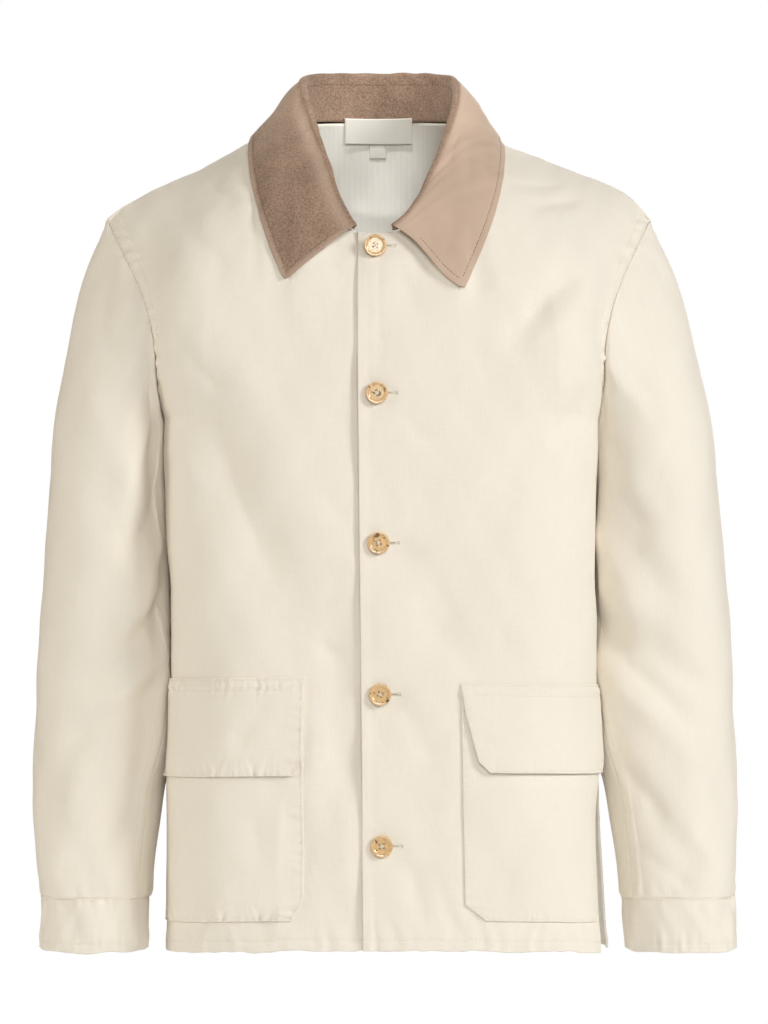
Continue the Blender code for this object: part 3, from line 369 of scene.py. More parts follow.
PATCH_WIDTH = 128.0
POCKET_FULLNESS = 2.2
POCKET_FULL_TO = (120.0, 200.0)     # across and up, where that ends
POCKET_LIP = {"left": 0.45, "right": 0.8}     # how far the inner edge turns up
POCKET_LIP_PLACE = (0.6, 1.1)       # how far in, how wide
POCKET_STITCH = 2.3         # from its edges in to its row of stitches
FLAP_TOP_STITCH = 11.0
POCKET_SOFT = {"left": 0.3, "right": 1.3}      # how strongly each one's seams pucker
POCKET_CREASES = {
    # start across and height, end across and height, bow, width, depth (+ is a ridge)
    "right": (
        (-86, -574, -92, -684, 3, 6, 0.7),
        (-112, -590, -118, -680, -4, 8, -0.6),
        (-96, -500, -132, -552, 3, 8, -0.6),
    ),
    "left": (
        (84, -540, 140, -500, 3, 9, 0.5),
        (92, -690, 112, -640, 3, 8, -0.5),
    ),
}
TAG_PUFF = 0.35             # how far the label bulges

THREAD_STATIONS = (
    # share of its length, width, height above the cloth
    (0, 0.35, -0.9),
    (0.2, 0.95, 0.15),
    (0.8, 0.95, 0.15),
    (1, 0.35, -0.9),
)

BUTTON_RADIUS = 9.5
BUTTON_THICKNESS = 3.2
BUTTON_FACE = ((2.2, 0.35), (1.0, 0.75))    # insets towards the middle, how much deeper
BUTTON_RIM = 0.75           # width of its rounded rim
BUTTON_HOLE = 0.85
BUTTON_HOLE_OFF = 1.65
BUTTON_SPIN = (8.0, 31.0, -16.0, 22.0, -5.0)       # degrees, from the top button down
STRAND_RADIUS = 0.26        # of the thread through its holes
STRAND_OFF = 0.3            # half the distance between two strands side by side
STRAND_ARCH = (1.25, 0.12)  # how high it rises, and how far one pair crosses the other
STRAND_RINGS = 9
CLOSURE_LIFT = -0.9         # how much more the outer front's edge stands out
CLOSURE_LIFT_PLACE = (6.0, -60.0, 60.0)     # how far in, from which height down, over
BUTTON_DIMPLE = (17.0, -0.7)        # how far round a button its thread draws the cloth in
BUTTONHOLE = (-2.0, 13.5)           # from and to, across
BUTTONHOLE_HALF = 1.5
BUTTONHOLE_SLIT = 0.25      # half the slit between its rows of stitches
BUTTONHOLE_BAR = 2.1        # half the bar across its end
BUTTONHOLE_PITCH = 0.62
BUTTONHOLE_THREAD = 0.5
# width of the dark strip along each buttonhole's slit: painted shadow for the shade inside
# the cut
SLIT_SHADOW_WIDTH = 0.7
LABEL_STITCH = (1.6, 2.2)   # length and pitch
LABEL_EDGE = 1.4            # from the label's sides in to its stitches
LABEL_THREAD = 0.4

CAMERA_PLACE = (0.0057, -3.6, -0.340)   # metres
CAMERA_LENS = 142.2
MIDDLE = (0.0, 0.0, -0.35)
LIGHTS = (
    # name, place, what it points at, size, tint; the one for the neck is a spot
    ("key", (3.0, -2.1, 1.2), MIDDLE, 1.3, (0.98, 1.0, 1.0)),
    ("front", (0.3, -3.6, 0.75), MIDDLE, 1.8, (1.0, 1.0, 1.0)),
    ("side", (-3.6, -0.6, 0.4), MIDDLE, 1.6, (1.0, 0.96, 0.87)),
    ("rear", (0.6, 3.2, 1.0), MIDDLE, 2.6, (1.0, 0.99, 0.97)),
    ("neck", (-0.02, -0.55, 0.72), (0.004, 0.06, -0.045), 0.06, (0.98, 0.99, 1.0)),
)
NECK_BEAM = 13.0            # degrees
ROOM_TINT = (1.0, 0.86, 0.68, 1.0)

# flat sizes and areas of the cut pieces, in metres
FRONT_FLAT, FRONT_CUT = (0.37, 0.76), 0.225
BACK_FLAT, BACK_CUT = (0.62, 0.78), 0.40
SLEEVE_CUT = {"upper": ((0.30, 0.60), 0.13), "under": ((0.20, 0.52), 0.085)}
CUFF_FLAT = (0.31, 0.052)
COLLAR_FLAT, COLLAR_CUT = (0.50, 0.145), 0.06
POCKET_FLAT = (0.15, 0.21)
FLAP_FLAT = (0.15, 0.085)
LEAST_FLAT = 0.012          # for the size tab

# ------------------------------------------------------------ creases, seams and sewing

FINE = 1.15                 # between points near an edge, where seams pucker
FINE_BAND = 15.0            # how far in from an edge the points lie so close
COARSE = {"front": 3.4, "back": 4.0, "sleeve": 3.8}     # between points elsewhere
CREASE_TAPER = 0.32         # part of a crease's length over which it fades at each end

FRONT_CREASES = {
    # start across and height, end across and height, bow, width, depth (+ is a ridge)
    "right": (
        (CLOSURE - LAP - 0.3, -30, CLOSURE - LAP - 0.3, -600, 0, 2.4, -0.6),
        (-150, -236, -84, -418, 6, 9, -0.9),
        (-104, -24, -107, -150, 2, 5, -0.7),
        (-152, -42, -118, -72, 3, 6, -0.8),
        (-176, -92, -128, -138, -5, 9, -1),
        (-182, -170, -126, -246, 8, 10, -1.2),
        (-184, -250, -150, -330, 6, 10, 1),
        (-60, -446, -28, -470, 3, 7, -0.7),
        (-52, -318, -30, -352, 2, 8, -0.7),
        (-40, -560, -34, -700, -3, 9, 0.9),
        (-58, -470, -60, -640, 4, 14, 0.8),
        (-186, -420, -160, -560, -8, 14, -1.2),
        (-140, -700, -120, -640, 4, 8, -0.9),
        (-96, -712, -90, -668, 2, 7, 0.9),
    ),
    "left": (
        (182, -128, 118, -190, 5, 9, -1.1),
        (172, -152, 120, -206, -4, 10, 1),
        (128, -76, 186, -64, -2, 6, -0.9),
        (110, -52, 168, -50, 2, 5, -0.6),
        (190, -226, 150, -300, 6, 10, -1.4),
        (160, -250, 108, -390, 10, 15, 0.9),
        (22, -372, 66, -452, 5, 10, 0.8),
        (14, -246, 48, -286, 4, 9, -0.7),
        (16, -120, 44, -176, 4, 8, -0.8),
        (14, -502, 40, -560, -3, 9, -0.8),
        (60, -520, 52, -690, 4, 14, 0.8),
        (44, -640, 70, -712, 6, 8, -1.1),
        (16, -634, 34, -706, -3, 8, -0.8),
    ),
}
BACK_CREASES = (
    # start across and height, end across and height, bow, width, depth (+ is a ridge)
    (-186, -170, -96, -262, 8, 10, -1.6),
    (-182, -214, -104, -318, 6, 11, 1.4),
    (-176, -262, -116, -380, -6, 12, -1.4),
    (184, -168, 100, -250, -8, 10, -1.6),
    (180, -206, 96, -322, -8, 12, 1.4),
    (172, -256, 122, -372, 6, 11, -1.3),
    (-40, -60, 36, -66, 5, 9, -0.8),
    (-88, -96, -20, -116, 5, 12, 0.8),
    (-66, -470, 12, -520, 10, 14, -1.1),
    (70, -430, 132, -486, -8, 12, -1.2),
    (-30, -560, -44, -716, 5, 12, 1.3),
    (30, -590, 42, -720, -4, 10, -1.3),
    (-104, -560, -96, -722, -5, 12, 1.2),
    (100, -520, 90, -716, 6, 13, 1.2),
    (-152, -560, -160, -716, 4, 10, -1.1),
)
SLEEVE_CREASES = {
    # start height and turn, end height and turn, bow, width, depth (+ is a ridge)
    "right": (
        (-120, 54, -640, 48, 5, 15, -3.7),
        (-150, 88, -560, 84, 5, 13, 0.7),
        (-110, 150, -210, 118, 5, 10, -0.9),
        (-196, 58, -262, 104, 5, 9, -1.2),
        (-240, 40, -322, 92, 6, 10, 1.3),
        (-290, 36, -380, 96, -6, 10, -1.5),
        (-352, 30, -430, 84, 8, 9, 1.2),
        (-400, 28, -478, 98, 8, 10, -1.7),
        (-446, 34, -520, 112, -8, 11, 1.5),
        (-492, 42, -560, 128, 6, 10, -1.5),
        (-548, 60, -610, 120, 6, 10, 1),
        (-580, 40, -640, 74, 4, 8, -1.2),
        (-628, 84, -668, 128, 4, 8, -1.1),
        (-300, 330, -400, 250, 8, 12, -1.6),
        (-392, 332, -470, 262, -8, 12, 1.6),
        (-452, 340, -530, 250, 8, 11, -1.6),
        (-540, 318, -610, 246, 6, 12, 1.2),
        (-610, 320, -664, 262, 5, 9, -1.2),
    ),
    "left": (
        (-120, 146, -216, 122, -5, 10, -0.8),
        (-204, 54, -270, 108, 5, 9, 1.1),
        (-232, 44, -316, 84, -6, 10, -1.4),
        (-300, 40, -372, 108, 6, 11, -1.4),
        (-330, 28, -440, 100, 6, 11, 1.4),
        (-410, 30, -470, 86, -8, 9, -1.5),
        (-436, 30, -548, 118, 10, 12, -1.6),
        (-480, 40, -590, 124, 8, 12, 1.3),
        (-556, 36, -622, 80, 4, 9, -1.2),
        (-600, 90, -664, 138, -4, 9, 1),
        (-640, 50, -672, 100, 3, 7, -1),
        (-310, 326, -396, 256, -8, 12, -1.6),
        (-376, 336, -486, 254, 8, 12, 1.6),
        (-470, 338, -540, 268, 6, 11, -1.6),
        (-560, 310, -630, 250, -6, 12, 1.2),
        (-622, 330, -668, 270, 5, 9, -1.1),
    ),
}

PUCKERS = {
    # how far the gathers reach in from an edge, their pitch, their height
    "hem": (18, 15, 0.75),
    "armhole": (14, 12, 1),
    "head": (26, 19, 0.5),
    "side": (13, 16, 0.35),
    "shoulder": (14, 15, 0.35),
    "closure": (26, 64, 0.45),
    "sleeve_seam": (11, 16, 0.4),
    "sleeve_end": (14, 15, 0.55),
    "pocket_end": (12, 6.4, 0.62),
    "pocket_side": (12, 9.5, 0.48),
    "flap_top": (9, 5.6, 0.6),
    "flap_end": (12, 6.6, 0.62),
    "flap_side": (12, 9, 0.34),
}
SEWN = ("armhole", "side", "shoulder", "sleeve_seam", "sleeve_end", "head")
SEWN_FLAT = 4.5             # where the puckers begin, from an edge that is sewn on
SEWN_LEFT = 0.12            # part of them left at that edge
SLEEVE_TOUCH = 3.0          # how much nearer a sleeve lies to the body than its solid
TOUCH_TURN = 40.0           # degrees round the arm over which that fades
HEAD_LIFT = 0.5             # how far a sleeve's head swells by the shoulder's tip
HEAD_LIFT_PLACE = (45.0, 9.0)       # degrees round the tip, and down the sleeve
TIP_PRESS = 0.6             # how far the shoulder's tip is pressed down
ARMHOLE_START = (0.985, 0.03)       # rises from which the armhole's seam sets in, over
ARMHOLE_TOP_FADE = 22.0     # it calms this far from the shoulder seam
SHOULDER_START = 0.05       # panel share over which that seam sets in beside the neck
TIP_REACH = 12.0            # how far round the shoulder's tip its seams are pressed flat
CALM_SEAM = 30.0            # creases are calmer this near a seam, and this near the closure
CALM_CLOSURE = 20.0
TUCK = (1.8, 0.9)           # how far a sewn edge runs on under its neighbour, how deep
TUCK_AT_TIP = (0.6, 25.0)   # part of that lost at the shoulder's tip, degrees round it
BACK_TUCK = (32.0, 2.0, 0.3, 0.6)   # the back's: reach round the tip, on, deep, deeper
FELL_WIDTH = 12.0           # a felled seam's raised band
FELL_RISE = 0.8
FELL_EDGE = 1.6
HEM_STITCH = 9.5            # from the hem up to its row of stitches
FELL_STITCH = 10.4
EDGE_STITCH = 2.0
COLLAR_STITCH = 6.0
SEAM_DIP = 0.8              # how far a seam draws the cloth in
SEAM_DIP_WIDTH = 1.7
STITCH_SINK = 0.30          # how far a row of stitches pulls the cloth in
STITCH_SINK_WIDTH = 1.3
VENT_PULL = 5.5             # see vent_pull
VENT_PULL_HEIGHTS = (-552.0, -600.0)
VENT_PULL_REACH = 26.0
HEM_WAVES = ((61.0, 0.8), (17.0, 0.35))     # pitch and height of the hem's uneven edge
HEM_WAVES_REACH = 24.0

# where kinks are evened: how wide, in shares, rises or degrees, and how many passes
EVEN_UNDERARM, EVEN_CORNER = (0.10, 60), (0.09, 70)
EVEN_HEAD, EVEN_TOP_RING = (24.0, 90), (0.16, 40)

UNEVEN = (
    # wavelength across, wavelength along, phase, height: the cloth's slow unevenness
    (143, 231, 0.4, 0.40),
    (87, -149, 1.9, 0.28),
    (-61, 104, 4.1, 0.20),
    (38, 71, 2.6, 0.10),
    (-29, 47, 5.3, 0.06),
)

# ------------------------------------------------------------------ curves and grids


def smooth(rows, column, at):
    """Value of a table's column at a place, on a smooth curve through the rows."""
    keys = np.array([row[0] for row in rows], dtype=float)
    values = np.array([row[column] for row in rows], dtype=float)
    slopes = np.gradient(values, keys)
    place = np.clip(np.asarray(at, dtype=float), keys[0], keys[-1])
    low = np.clip(np.searchsorted(keys, place, side="right") - 1, 0, len(keys) - 2)
    high, span = low + 1, keys[low + 1] - keys[low]
    t = (place - keys[low]) / span
    return between(values[low], slopes[low] * span, values[high], slopes[high] * span, t)


def ease(t):
    """0 up to t = 0, 1 from t = 1, and smooth between."""
    t = np.clip(t, 0.0, 1.0)
    return t * t * (3 - 2 * t)


def point(*parts):
    """Arrays of X, Y and Z as one array of points."""
    return np.stack(np.broadcast_arrays(*parts), axis=-1).astype(float)


def run(start, leave, end, arrive, t):
    """A path of points, by its direction at either end."""
    return between(start, leave, end, arrive, np.asarray(t, dtype=float)[..., None])


def between(start, leave, end, arrive, t):
    """Smooth way from start to end, by how it leaves and arrives."""
    return (
        start * (1 + 2 * t) * (1 - t) ** 2
        + leave * t * (1 - t) ** 2
        + end * t * t * (3 - 2 * t)
        + arrive * t * t * (t - 1)
    )


def unit(vectors):
    return vectors / np.linalg.norm(vectors, axis=-1, keepdims=True)


def body_outwards(points):
    """Direction in which the body's wall is measured, the same on every panel."""
    core = points * np.array((WALL_CORE_WIDTH, 0.0, 1.0))
    core[..., 2] = np.minimum(core[..., 2], WALL_CORE_TOP)
    return unit(points - core)


def grid_normals(grid):
    """Normals of a grid of points, from its neighbours along rows and columns."""
    along = np.gradient(grid, axis=0)
    across = np.gradient(grid, axis=1)
    return unit(np.cross(along, across))


def fold_relief(folds, first, second):
    """Height of a face's long soft folds, which its solid has too."""
    return crease_relief(folds, first, second, FOLD_OVERRUN, FOLD_TAPER, 2)


def crease_relief(creases, first, second, overrun=0.0, taper=CREASE_TAPER, power=1.6):
    """Height of listed folds or creases, bowed or straight, fading at both ends."""
    relief = np.zeros(np.broadcast(first, second).shape)
    for a0, b0, a1, b1, *bow, width, depth in creases:
        length = math.hypot(a1 - a0, b1 - b0)
        ua, ub = (a1 - a0) / length, (b1 - b0) / length
        along = ((first - a0) * ua + (second - b0) * ub) / length
        off = (first - a0) * ub - (second - b0) * ua
        for most in bow:
            off = off - most * (1 - (2 * np.clip(along, 0.0, 1.0) - 1) ** 2)
        fade = ease((along + overrun) / taper) * ease((1 + overrun - along) / taper)
        relief += depth * fade * np.exp(-(np.abs(off / width) ** power))
    return relief


def unevenness(first, second):
    """The slow rise and fall that no pressed cloth is without."""
    relief = 0.0
    for across, along, phase, height in UNEVEN:
        relief = relief + height * np.sin(
            2 * math.pi * (first / across + second / along) + phase
        )
    return relief


def ripple(place, pitch, phase):
    """Uneven waves of about one pitch, from -1 to 1, along an edge."""
    waves = np.sin(2 * math.pi * place / pitch + phase)
    waves = waves + 0.7 * np.sin(2 * math.pi * place / (1.63 * pitch) + 2.3 * phase)
    waves = waves + 0.5 * np.sin(2 * math.pi * place / (0.71 * pitch) + 3.9 * phase)
    swell = 0.65 + 0.35 * np.sin(2 * math.pi * place / (7.3 * pitch) + 1.7 * phase)
    return waves * swell


def gathers(kind, distance, place, phase):
    """Puckers of one kind of seam, by the distance from it and the place along it."""
    reach, pitch, height = PUCKERS[kind]
    fade = bell(distance, reach) * bpy.context.scene.jacket_cloth.puckers
    if kind in SEWN:
        fade = fade * (SEWN_LEFT + (1 - SEWN_LEFT) * ease(distance / SEWN_FLAT))
    drift = 0.35 * distance * np.sin(2 * math.pi * place / (5.3 * pitch) + phase)
    return height * fade * ripple(place + drift, pitch, phase)


def groove(distance):
    """How far a seam draws the cloth in, by the distance from it."""
    return -SEAM_DIP * bell(distance, SEAM_DIP_WIDTH)


def stitch_dip(distance, row):
    """A row of stitches draws the cloth in along its line."""
    return -STITCH_SINK * bell(distance - row, STITCH_SINK_WIDTH)


def fell_band(distance):
    """The raised band of a felled seam, with a row of stitches at either side."""
    band = FELL_RISE * ease((FELL_WIDTH - distance) / FELL_EDGE)
    return band + stitch_dip(distance, EDGE_STITCH) + stitch_dip(distance, FELL_STITCH)


def divisions(length, coarse, ends=(True, True)):
    """Places from 0 to 1 along a piece, close together near the ends that pucker."""
    band = np.arange(0.0, FINE_BAND, FINE)
    first = band if ends[0] else band[:1]
    last = length - (band[::-1] if ends[1] else band[:1])
    span = last[0] - first[-1]
    count = max(round(span / coarse), 1)
    middle = np.linspace(first[-1], last[0], count + 1)[1:-1]
    return np.concatenate((first, middle, last)) / length


def relaxed(grid, axis, weight, passes):
    """Evens a grid's kinks along one axis where a weight says, its broad form kept."""
    share = np.broadcast_to(weight, grid.shape[:2]) / 2
    share[0, :] = share[-1, :] = 0.0
    share[:, 0] = share[:, -1] = 0.0
    for step in range(2 * passes):
        middle = (np.roll(grid, 1, axis) + np.roll(grid, -1, axis)) / 2
        grid = grid + (middle - grid) * share[..., None] * (-1.02 if step % 2 else 1.0)
    return grid


def bell(value, width):
    return np.exp(-((value / width) ** 2))


def travelled(grid, axis):
    """Distance of each point from the first edge along an axis, over the cloth."""
    steps = np.linalg.norm(np.diff(grid, axis=axis), axis=-1)
    start = np.zeros_like(np.take(steps, [0], axis=axis))
    return np.concatenate((start, np.cumsum(steps, axis=axis)), axis=axis)


def cloth_of(grid, outwards):
    """A grid with its normals, turned outwards, and its distances from all four edges."""
    normals = grid_normals(grid)
    if np.sum(normals * outwards) < 0:
        normals = -normals
    across, along = travelled(grid, 1), travelled(grid, 0)
    return SimpleNamespace(
        grid=grid,
        normals=normals,
        left=across,
        right=across[:, -1:] - across,
        bottom=along,
        top=along[-1:, :] - along,
    )


def raised(cloth, relief):
    """The cloth with a relief added along its normals."""
    cloth.grid = cloth.grid + cloth.normals * relief[..., None]
    return cloth


# ------------------------------------------------------------------------- the body


def section_depth(height, face):
    """How far a level section reaches before or behind the side seams."""
    column, way = (2, 1.0) if face == "front" else (3, -1.0)
    return smooth(BODY_SECTIONS, column, height) + way * SIDE_SEAM_DEPTH


def section_point(height, share, face):
    """Point of a level section: share 0 on the centre line, 1 at the side seam."""
    half = smooth(BODY_SECTIONS, 1, height)
    deep = section_depth(height, face)
    boxiness = BOXINESS[face]
    path = np.abs(share) * (half + deep)
    across = np.minimum(path, half)
    away = np.where(path > half, half + deep - path, deep)
    scale = ((across / half) ** boxiness + (away / deep) ** boxiness) ** (-1 / boxiness)
    away = away * scale * (-1.0 if face == "front" else 1.0)
    return point(across * scale * np.sign(share), SIDE_SEAM_DEPTH + away, height)


def body_half_width(depth, height):
    """Half the body's width below the underarm, at a depth behind or before it."""
    off = depth - SIDE_SEAM_DEPTH
    widths = []
    for face, way in (("front", -off), ("back", off)):
        reach = np.clip(way / section_depth(height, face), 0.0, 1.0)
        widths.append((1 - reach ** BOXINESS[face]) ** (1 / BOXINESS[face]))
    return smooth(BODY_SECTIONS, 1, height) * np.where(off < 0, *widths)


def neck_point(angle, side):
    """Point of the neck seam, by its angle from the front."""
    turn = np.radians(angle)
    reach = (NECK_BACK - NECK_FRONT) / 2
    return point(
        side * NECK_HALF_WIDTH * np.sin(turn),
        NECK_AXIS[1] - reach * np.cos(turn),
        smooth(NECK_SEAM, 1, angle),
    )


def ridge_height(across, side):
    left = smooth(SHOULDER_RIDGE, 1, across)
    right = smooth(SHOULDER_RIDGE, 2, across)
    return np.where(np.asarray(side) > 0, left, right)


def top_point(share, side, face):
    """Point of a panel's top edge: the neck seam, then the shoulder seam."""
    reach = np.abs(share)
    side = side * np.where(share < 0, -1.0, 1.0)
    round_neck = np.clip(reach / NECK_SHARE, 0.0, 1.0) ** NECK_SPREAD[face]
    if face == "front":
        neck = neck_point(NECK_SIDE_ANGLE * round_neck, side)
    else:
        neck = neck_point(180.0 - (180.0 - NECK_SIDE_ANGLE) * round_neck, side)
    corner = neck_point(np.full_like(reach, NECK_SIDE_ANGLE), np.ones_like(reach))
    along = np.clip((reach - NECK_SHARE) / (1 - NECK_SHARE), 0.0, 1.0)
    tip = ARMHOLE_FRONT[-1]
    across = corner[..., 0] + (tip[1] - corner[..., 0]) * along
    depth = corner[..., 1] + (tip[2] - corner[..., 1]) * along
    settle = ease(along / SHOULDER_SETTLE)
    height = ridge_height(across, side) * settle + corner[..., 2] * (1 - settle)
    shoulder = point(side * across, depth, height)
    return np.where((reach > NECK_SHARE)[..., None], shoulder, neck)


def armhole_point(share, side, face):
    table = ARMHOLE_FRONT if face == "front" else ARMHOLE_BACK
    x = side * smooth(table, 1, share)
    return point(x, smooth(table, 2, share), smooth(table, 3, share))


def upper_point(share, rise, side, face):
    """Point between the underarm level and the top edge, by panel share and rise."""
    way = 1.0 if face == "front" else -1.0
    mirror = side * np.where(share < 0, -1.0, 1.0)
    fullness = CHEST_FULLNESS if face == "front" else BLADE_FULLNESS

    def column(at):
        base = section_point(np.full_like(at, UNDERARM_HEIGHT), at, face)
        base[..., 0] *= side
        top = top_point(at, side, face)
        chord = np.linalg.norm(top - base, axis=-1)[..., None] * fullness
        reach = np.abs(at)
        arrive = unit(point(
            side * np.sign(at) * smooth(TOP_DIRECTIONS, 1, reach),
            way * smooth(TOP_DIRECTIONS, 2, reach),
            smooth(TOP_DIRECTIONS, 3, reach),
        ))
        leave = point(np.zeros_like(at), np.zeros_like(at), np.ones_like(at))
        return run(base, leave * chord, top, arrive * chord, rise)

    plain = column(share)
    outermost = column(np.where(share < 0, -1.0, 1.0))
    armhole = armhole_point(rise, mirror, face)
    pull = np.clip((np.abs(share) - ARMHOLE_REACH) / (1 - ARMHOLE_REACH), 0.0, 1.0)
    return plain + (armhole - outermost) * (pull**ARMHOLE_EASE)[..., None]


def body_point(share, rise, side, face):
    """Point of the body's outer face; rise 0 at the hem, 1 underarm, 2 at the top."""
    share, rise = np.broadcast_arrays(np.asarray(share, float), np.asarray(rise, float))
    centre = HEM_FRONT if face == "front" else HEM_BACK
    hem = centre + (HEM_SIDE - centre) * share**2
    height = hem + (UNDERARM_HEIGHT - hem) * np.clip(rise, 0.0, 1.0)
    low = section_point(height, share, face)
    low[..., 0] *= side
    high = upper_point(share, np.clip(rise - 1, 0.0, 1.0), side, face)
    points = np.where((rise > 1)[..., None], high, low)
    off_seam = np.abs(points[..., 1] - SIDE_SEAM_DEPTH)
    calm = ease((FOLD_CEILING - points[..., 2]) / FOLD_FADE)
    calm = calm * ease((off_seam - FOLD_SEAM_CLEAR) / FOLD_FADE)
    folds = FRONT_FOLDS if face == "front" else BACK_FOLDS
    relief = fold_relief(folds, points[..., 0], points[..., 2]) * calm
    return points + body_outwards(points) * relief[..., None]


def front_point(share, rise, side):
    """Point of a front, with its lap at the closure and its vent at the side."""
    points = body_point(share, rise, side, "front")
    out = body_outwards(points)
    past = (points[..., 0] - CLOSURE) * side
    near = ease(1 - (past - LAP) / LAP_FADE)
    if side > 0:
        roll = ease(1 - (past + LAP) / EDGE_ROLL_WIDTH) * EDGE_ROLL
        top, full = EDGE_ROLL_TOP
        shift = near * LAP_LIFT + roll * ease((points[..., 2] - top) / (full - top))
        drop = ease((VENT_TOP - points[..., 2]) / VENT_FADE)
        hinge, free = VENT_SHARES
        shift = shift - VENT_SWING * drop * ease((share - hinge) / (free - hinge))
    else:
        shift = -near * LAP_SETBACK
    return points + out * shift[..., None]


def front_reach(rise, side):
    """Panel share of a front's side edge, which is cut back along an open vent."""
    if side < 0:
        return np.ones_like(rise)
    height = HEM_SIDE + (UNDERARM_HEIGHT - HEM_SIDE) * np.clip(rise, 0.0, 1.0)
    return 1.0 - VENT_CUT_BACK * ease((VENT_TOP - height) / VENT_FADE)


def panel_rows(coarse):
    """Rises of a panel's rows: close at the hem and at the neck, even at the underarm."""
    lower = divisions(UNDERARM_HEIGHT - HEM_SIDE, coarse, (True, False))
    upper = divisions(-UNDERARM_HEIGHT, 0.7 * coarse, (False, True))
    return np.concatenate((lower, 1.0 + upper[1:]))[:, None]


def settled_panel(base, share, rise):
    """Evens the bends that a panel has at the underarm and below the neck's corner."""
    inner = ease((1.0 - np.abs(share)) / 0.08)
    width, passes = EVEN_UNDERARM
    base = relaxed(base, 0, bell(rise - 1.0, width) * inner, passes)
    width, passes = EVEN_CORNER
    corner = bell(np.abs(share) - NECK_SHARE, width) * ease((2.0 - rise) / 0.03)
    return relaxed(base, 1, corner * ease((rise - 1.05) / 0.2), passes)


def vent_pull(z, from_side):
    """How far the wearer's left front is drawn in where its side vent falls open."""
    high, low = VENT_PULL_HEIGHTS
    return VENT_PULL * ease((high - z) / (high - low)) * bell(from_side, VENT_PULL_REACH)


def hem_waves(x, bottom, phase):
    """How far an uneven hem rises or drops, by the place along it."""
    waves = 0.0
    for pitch, height in HEM_WAVES:
        waves = waves + height * ripple(x, pitch, phase + pitch)
    return waves * bell(bottom, HEM_WAVES_REACH)


def tucked(base, outwards, edges):
    """Runs edges on under their neighbours: which axis and end, how far on, how deep."""
    base = base.copy()
    for axis, end, on, deep in edges:
        line = (slice(None), end) if axis else (end, slice(None))
        inside = end + (1 if end == 0 else -1)
        beside = (slice(None), inside) if axis else (inside, slice(None))
        onwards = unit(base[line] - base[beside])
        on, deep = np.reshape(on, (-1, 1)), np.reshape(deep, (-1, 1))
        base[line] += onwards * on - outwards[line] * deep
    return base


def sewn_panel(relief, cloth, share, rise, edge, phases):
    """Adds a panel's hem, felled armhole and other seams; where its shoulder seam runs."""
    x, z = cloth.grid[..., 0], cloth.grid[..., 2]
    hem, armhole, side, shoulder = phases
    low, over = ARMHOLE_START
    above = ease((rise - low) / over) * (0.2 + 0.8 * ease(cloth.top / ARMHOLE_TOP_FADE))
    relief += gathers("hem", np.abs(cloth.bottom - HEM_STITCH * 0.6), x, hem)
    relief += stitch_dip(cloth.bottom, HEM_STITCH)
    relief += above * (gathers("armhole", edge, z, armhole) + fell_band(edge))
    tip = bell(np.hypot(edge, cloth.top), TIP_REACH)
    seam = ease((np.abs(share) - NECK_SHARE) / SHOULDER_START)
    relief += ((rise > 1.0) * groove(edge) + seam * groove(cloth.top)) * (1.0 - tip)
    relief -= TIP_PRESS * tip
    relief += (rise < 1.0) * (1 - above) * gathers("side", edge, z, side)
    relief += gathers("shoulder", cloth.top, x, shoulder)
    cloth.over = np.broadcast_to(rise, x.shape) * 100.0
    cloth.below = 100.0 - cloth.over
    share = np.broadcast_to(share, x.shape)
    cloth.uv = np.stack((share * LAP_PATH, cloth.bottom), axis=-1)
    return seam


@lru_cache(maxsize=None)
def front_cloth(side):
    """A front's outer face with its creases, rows from the hem up."""
    rise = panel_rows(COARSE["front"])
    start = (CLOSURE * side - LAP) / LAP_PATH
    even = start + (1.0 - start) * divisions(LAP_PATH, COARSE["front"])[None, :]
    reach = front_reach(rise, side)
    share = start + (reach - start) * (even - start) / (1.0 - start)
    base = settled_panel(front_point(share, rise, side), even, rise)
    cloth = cloth_of(base, body_outwards(base))
    x, z = base[..., 0], base[..., 2]
    relief = crease_relief(FRONT_CREASES[WORD[side]], x, z) + unevenness(x, z)
    relief = relief * bpy.context.scene.jacket_cloth.creases
    calm = ease(cloth.right / CALM_SEAM) * ease(cloth.left / CALM_CLOSURE)
    relief = relief * (0.25 + 0.75 * calm)
    phases = (side, 2 * side, 3 * side, 4 * side)
    sewn_panel(relief, cloth, share, rise, cloth.right, phases)
    relief += gathers("closure", cloth.left, z, 5 * side)
    if side > 0:
        reach, top, over = CLOSURE_LIFT_PLACE
        relief += CLOSURE_LIFT * bell(cloth.left, reach) * ease((top - z) / over)
        reach, depth = BUTTON_DIMPLE
        for height in BUTTON_HEIGHTS:
            relief += depth * bell(np.hypot(x - CLOSURE, z - height), reach)
    cloth = raised(cloth, relief)
    cloth.grid[..., 2] += hem_waves(x, cloth.bottom, side)
    if side > 0:
        cloth.grid[..., 0] -= vent_pull(z, cloth.right)
    return cloth


